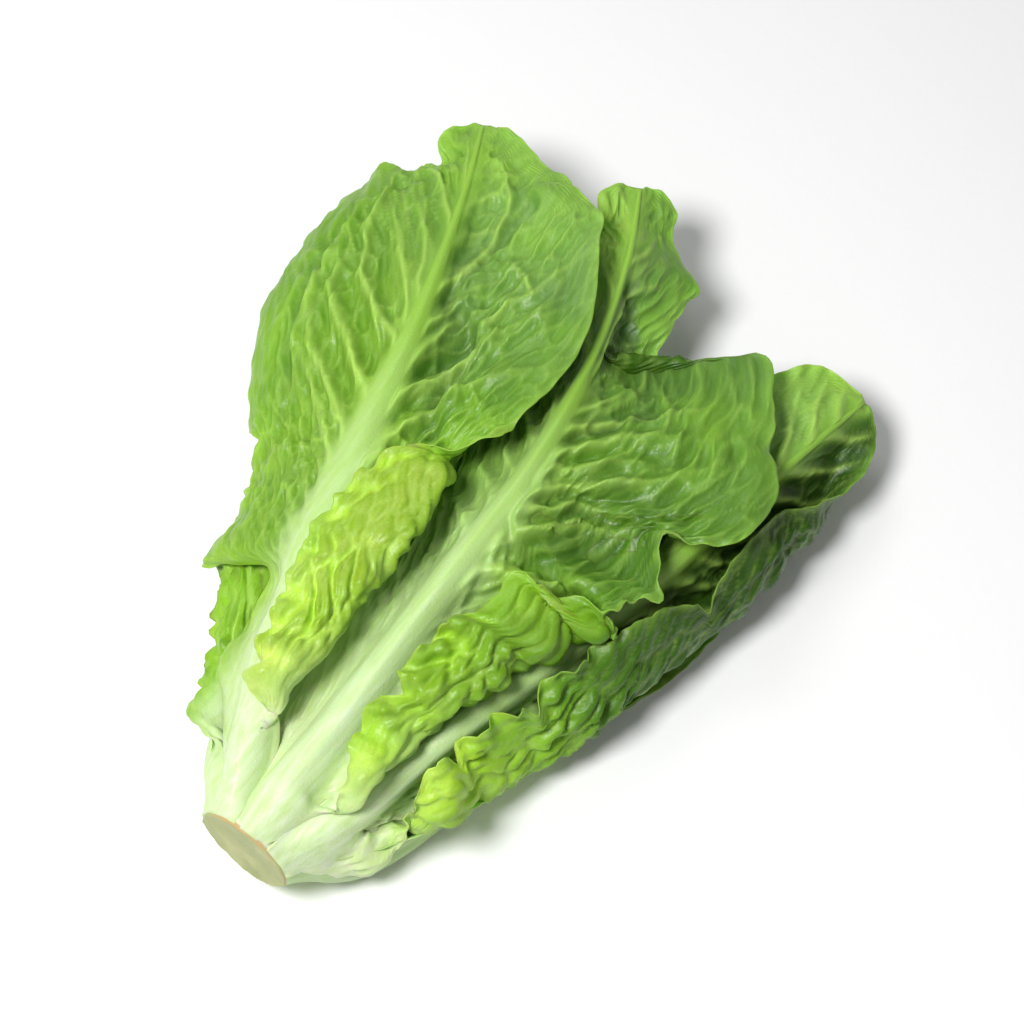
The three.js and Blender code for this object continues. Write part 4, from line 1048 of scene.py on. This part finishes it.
class Nodes:
    """A material under construction. add() makes a node, with inputs by name, or by number as i0, i1
    and so on; the other calls return the output of the node that they add."""

    def __init__(self, name):
        self.material = bpy.data.materials.new(name)
        self.material.use_nodes = True
        self.tree = self.material.node_tree
        self.tree.nodes.clear()

    def add(self, kind, settings=None, **inputs):
        node = self.tree.nodes.new(kind)
        for key, value in (settings or {}).items():
            setattr(node, key, value)
        for key, value in inputs.items():
            numbered = key[0] == "i" and key[1:].isdigit()
            self.put(value, node.inputs[int(key[1:]) if numbered else key.replace("_", " ")])
        return node

    def put(self, value, socket):
        if isinstance(value, bpy.types.NodeSocket):
            self.tree.links.new(value, socket)
        else:
            socket.default_value = value

    def attribute(self, name):
        return self.add("ShaderNodeAttribute", {"attribute_name": name}).outputs["Fac"]

    def math(self, operation, *values, clamp=False):
        settings = {"operation": operation, "use_clamp": clamp}
        numbered = {f"i{number}": value for number, value in enumerate(values)}
        return self.add("ShaderNodeMath", settings, **numbered).outputs[0]

    def times(self, a, b):
        return self.math("MULTIPLY", a, b)

    def spread(self, value, **limits):
        """A value taken from one range, i1 to i2, to another, i3 to i4; each is 0 to 1 if not given."""
        return self.add("ShaderNodeMapRange", Value=value, **limits).outputs[0]

    def mix(self, factor, a, b, blend="MIX"):
        node = self.add("ShaderNodeMix", {"data_type": "RGBA", "blend_type": blend})
        sockets = [socket for socket in node.inputs if socket.enabled]      # Factor, A and B
        for value, socket in zip((factor, a, b), sockets):
            self.put(value, socket)
        return [socket for socket in node.outputs if socket.enabled][0]

    def ramp(self, factor, stops):
        node = self.add("ShaderNodeValToRGB", Fac=factor)
        elements = node.color_ramp.elements
        while len(elements) < len(stops):
            elements.new(0.5)
        for element, (position, colour) in zip(elements, stops):
            element.position = position
            element.color = colour
        return node.outputs["Color"]

    def noise(self, scale, detail=2.0):
        where = self.add("ShaderNodeTexCoord").outputs["Object"]
        return self.add("ShaderNodeTexNoise", Vector=where, Scale=scale, Detail=detail).outputs["Fac"]

    def finish(self, colour, roughness, bump, bump_distance, **principled):
        bumped = self.add("ShaderNodeBump", Strength=1.0, Distance=bump_distance, Height=bump).outputs[0]
        shader = self.add("ShaderNodeBsdfPrincipled", Base_Color=colour, Roughness=roughness,
                          Normal=bumped, **principled).outputs[0]
        self.tree.links.new(shader, self.add("ShaderNodeOutputMaterial").inputs["Surface"])
        return self.material


def leaf_material(name, tones, bloom_and_sheen, glow):
    """tones: colours of the blade from tender to deep green, the deepest also serving as painted shade.
    bloom: how much the wax coat shows, and with it painted sheen, on the outer face and on the inner
    face. glow: how far light goes through the blade."""
    m = Nodes(name)
    read = ("pale", "vein", "tone", "hollow_shade", "margin", "height", "inside", "bloom_and_sheen")
    pale, vein, tone, hollow_shade, margin, height, inside, bloom_and_sheen_here = (m.attribute(key) for key in read)
    patches = m.noise(38.0, 3.0)
    grain = m.noise(900.0, 2.0)
    varied = m.math("ADD", tone, m.times(m.math("SUBTRACT", patches, 0.5), 0.28), clamp=True)
    blade = m.ramp(varied, tones)
    # Painted shade: the blade darkens towards a deep green where it lies low, in its hollows and creases.
    blade = m.mix(m.times(m.math("SUBTRACT", hollow_shade, 0.5, clamp=True), 0.8), blade, HOLLOW_SHADE)
    # The wax bloom's colour, laid on more strongly towards the tips as painted sheen.
    wax_and_sheen = m.math("ADD", m.times(m.math("SUBTRACT", 1.0, inside), bloom_and_sheen[0]),
                  m.times(inside, bloom_and_sheen[1]))
    wax_and_sheen = m.times(wax_and_sheen, bloom_and_sheen_here)
    wax_and_sheen = m.times(wax_and_sheen, m.math("MULTIPLY_ADD", patches, 1.0, 0.5))
    blade = m.mix(wax_and_sheen, blade, WAX_AND_SHEEN)
    blade = m.mix(m.times(vein, 0.75), blade, VEINS)
    blade = m.mix(m.times(margin, 0.4), blade, MARGINS)
    speckle = m.math("MULTIPLY_ADD", grain, 0.16, 0.92)
    speckles = m.add("ShaderNodeCombineColor", Red=speckle, Green=speckle, Blue=speckle).outputs[0]
    blade = m.mix(1.0, blade, speckles, "MULTIPLY")
    stretched = m.add("ShaderNodeMapping", Vector=m.add("ShaderNodeTexCoord").outputs["Object"],
                      Scale=(420.0, 26.0, 420.0)).outputs[0]
    along_rib = m.add("ShaderNodeTexNoise", Vector=stretched, Scale=1.0, Detail=3.0).outputs["Fac"]
    rib = m.ramp(along_rib, RIB_TONES)
    rib = m.mix(m.spread(height, i1=0.13, i2=0.64), rib, RIB_TIP)
    colour = m.mix(pale, blade, rib)
    rough = m.spread(m.noise(160.0, 3.0), i3=0.30, i4=0.46)
    on_blade = m.times(grain, 0.5)
    on_rib = m.times(along_rib, m.times(pale, 0.6))
    return m.finish(colour, rough, m.math("ADD", on_blade, on_rib), 0.00035, Subsurface_Weight=glow,
                    Subsurface_Radius=(0.5, 1.0, 0.18), Subsurface_Scale=0.0022, Specular_IOR_Level=0.42,
                    IOR=1.42)


MATERIALS = {
    "outer_leaf": leaf_material("outer_leaf_blade", OUTER_TONES, (0.12, 0.0), 0.45),
    "middle_leaf": leaf_material("middle_leaf_blade", OUTER_TONES, (0.12, 0.06), 0.4),
    "heart_leaf": leaf_material("heart_leaf_blade", HEART_TONES, (0.0, 0.0), 0.4),
}


def add_leaf(node, leaf, kind, slot, seed, heft=1.0):
    piece = closed_mesh("romaine_" + node, *relief(leaf, kind, seed, heft))
    dress(piece, node, MATERIALS[slot])


for number, (node, leaf) in enumerate(OUTER_LEAVES.items()):
    add_leaf(node, leaf, node if node in STYLES else "under", "outer_leaf", 100 * (number + 1))
for prefix, (start, ring, pitch, spacing, heft, leaves) in BUNCH_LEAVES.items():
    kind = prefix if prefix in STYLES else "heart_leaf"      # bud leaves look like heart leaves
    for number, (angle, length, width) in enumerate(leaves):
        leaf = wrapped_leaf(angle, length, width, start, ring, pitch, spacing)
        add_leaf(f"{prefix}_{number + 1}", leaf, kind, kind, 1000 + 37 * number + len(prefix), heft)

# The stem: its cut face is a little hollow and uneven, with a browned rim. The profile goes from the
# cut face's middle over the rim to the growing point: radius, depth behind the cut.
STEM_PROFILE = [
    (0, 0.9), (6, 0.8), (11, 0.5), (15, 0.25), (17.5, 0.05), (18.6, 0.0), (19.1, 0.2), (19.4, 0.7),
    (19.4, 1.4), (19.2, 2.4), (18.8, 4.0), (17.5, 7.0), (12.0, 9.0), (10, 26), (6, 48), (0.01, 70),
]
STEM_TURNS, STEM_STEPS = 120, 5      # points round it, and rings to each stretch of the profile
STEM_RIM = 19.2


def stem_piece():
    profile = np.array(STEM_PROFILE, float)
    turns = STEM_TURNS
    at = np.linspace(0, 1, (len(profile) - 1) * STEM_STEPS + 1)
    radius, depth = (np.interp(at, np.linspace(0, 1, len(profile)), column) for column in profile.T)
    angle = np.linspace(0, 2 * np.pi, turns, endpoint=False)
    uneven = 0.025 * noise(np.cos(angle) * 3 + 9, np.sin(angle) * 3 + 9, 5)[None, :]
    r = radius[:, None] * (1 + uneven * step(8, 18, radius)[:, None])
    x, z = r * np.cos(angle), r * np.sin(angle)
    bumps = 0.35 * noise(x / 5, z / 5, 6) + 0.15 * noise(x / 1.6, z / 1.6, 8)
    face = (1 - step(1.2, 4, depth))[:, None]
    y = depth[:, None] + bumps * face
    grid = np.stack([x, y, z + AXIS_HEIGHT], -1)
    points = grid.reshape(-1, 3) * MM + HEAD_ORIGIN
    index = np.arange(len(at) * turns).reshape(len(at), turns)
    after = np.roll(index, -1, axis=1)
    faces = np.stack([index[1:-1], after[1:-1], after[2:], index[2:]], -1).reshape(-1, 4).tolist()
    faces += [(0, after[1, i], index[1, i]) for i in range(turns)]
    points = points[turns - 1:]      # the first ring is one point, in the middle of the cut face
    faces = [[max(int(v) - turns + 1, 0) for v in face] for face in faces]
    faces.append(range(len(points) - turns, len(points)))
    mesh = bpy.data.meshes.new("romaine_stem")
    mesh.from_pydata(points.tolist(), [], [face[::-1] for face in faces])
    looks = {"rim": bell(radius - STEM_RIM, 0.5) * (depth < 2), "cut": 1 - step(0.8, 1.8, depth)}
    set_looks(mesh, {key: np.repeat(value, turns)[turns - 1:] for key, value in looks.items()})
    return add_object("romaine_stem", mesh)


def stem_material():
    m = Nodes("stem_cut")
    rim, cut = m.attribute("rim"), m.attribute("cut")
    patches, grain = m.noise(70.0, 4.0), m.noise(700.0, 3.0)
    flesh = m.ramp(patches, CUT_TONES)
    side = m.ramp(patches, STEM_SIDE_TONES)
    colour = m.mix(cut, side, flesh)
    browned = m.spread(m.noise(45.0), i1=0.42, i2=0.62)
    colour = m.mix(m.times(rim, m.times(browned, 0.8)), colour, BROWNED)
    rough = m.spread(patches, i3=0.42, i4=0.62)
    return m.finish(colour, rough, grain, 0.0004, Subsurface_Weight=0.25, Subsurface_Radius=(1.0, 0.9, 0.5),
                    Subsurface_Scale=0.003, Specular_IOR_Level=0.4)


dress(stem_piece(), "stem", stem_material())

# The floor, the lights and the camera, which looks down on the head from beside its cut stem.
LENS, SENSOR = 100.0, 36.0
VIEW_AZIMUTH, VIEW_ELEVATION, VIEW_DISTANCE = math.radians(37), math.radians(60), 1.030
VIEW_TARGET = np.array([13.8, 143.5, 91.4]) * MM + HEAD_ORIGIN

back = np.array([math.sin(VIEW_AZIMUTH) * math.cos(VIEW_ELEVATION),
                 -math.cos(VIEW_AZIMUTH) * math.cos(VIEW_ELEVATION), math.sin(VIEW_ELEVATION)])
rightwards = np.array([math.cos(VIEW_AZIMUTH), math.sin(VIEW_AZIMUTH), 0.0])
upwards = np.cross(back, rightwards)


def add_aimed(name, data, place, target):
    """A camera or a light that looks from its place to the target."""
    thing = add_object(name, data)
    thing.location = place
    direction = Vector(target) - Vector(place)
    thing.rotation_mode = "QUATERNION"
    thing.rotation_quaternion = direction.to_track_quat("-Z", "Y")
    return thing


camera_data = bpy.data.cameras.new("camera")
camera_data.lens, camera_data.sensor_width = LENS, SENSOR
camera_data.clip_start, camera_data.clip_end = 0.05, 20.0
camera_place = VIEW_TARGET + back * VIEW_DISTANCE
bpy.context.scene.camera = add_aimed("camera", camera_data, camera_place, VIEW_TARGET)

FLOOR_REACH = 6.0
floor_mesh = bpy.data.meshes.new("floor")
corners = [(x * FLOOR_REACH, y * FLOOR_REACH, 0) for x, y in ((-1, -1), (1, -1), (1, 1), (-1, 1))]
floor_mesh.from_pydata(corners, [], [(0, 1, 2, 3)])
floor = add_object("floor", floor_mesh)
paper = Nodes("floor_paper")
nearly_white = paper.ramp(paper.noise(3.0), [(0.3, (0.94, 0.94, 0.94, 1)), (0.7, (0.96, 0.96, 0.96, 1))])
floor_mesh.materials.append(
    paper.finish(nearly_white, 0.8, paper.noise(200.0), 0.0001, Specular_IOR_Level=0.2))

centre = (np.array(cad_low) + np.array(cad_high)) / 2
STUDIO_LIGHT = 0.22               # the even light from all round
#        name, left(-) or right of the view, up in the view, towards the viewer, size, power
LIGHTS = [
    ("key", -0.42, 0.22, 1.20, 0.45, 16.5),
    ("fill", 0.8, -0.2, 1.0, 1.0, 0.6),
    ("rear", -0.2, 1.0, 0.5, 0.5, 2.0),
]
for name, across, up, toward, size, power in LIGHTS:
    data = bpy.data.lights.new(name, "AREA")
    data.shape, data.size, data.energy = "DISK", size, power
    place = centre + rightwards * across + upwards * up + back * toward
    add_aimed(name, data, place, centre)

world = bpy.data.worlds.new("studio")
world.use_nodes = True
background = world.node_tree.nodes["Background"]
background.inputs["Color"].default_value = (1.0, 1.0, 1.0, 1.0)
background.inputs["Strength"].default_value = STUDIO_LIGHT
bpy.context.scene.world = world
bpy.context.scene.view_settings.view_transform = "Standard"
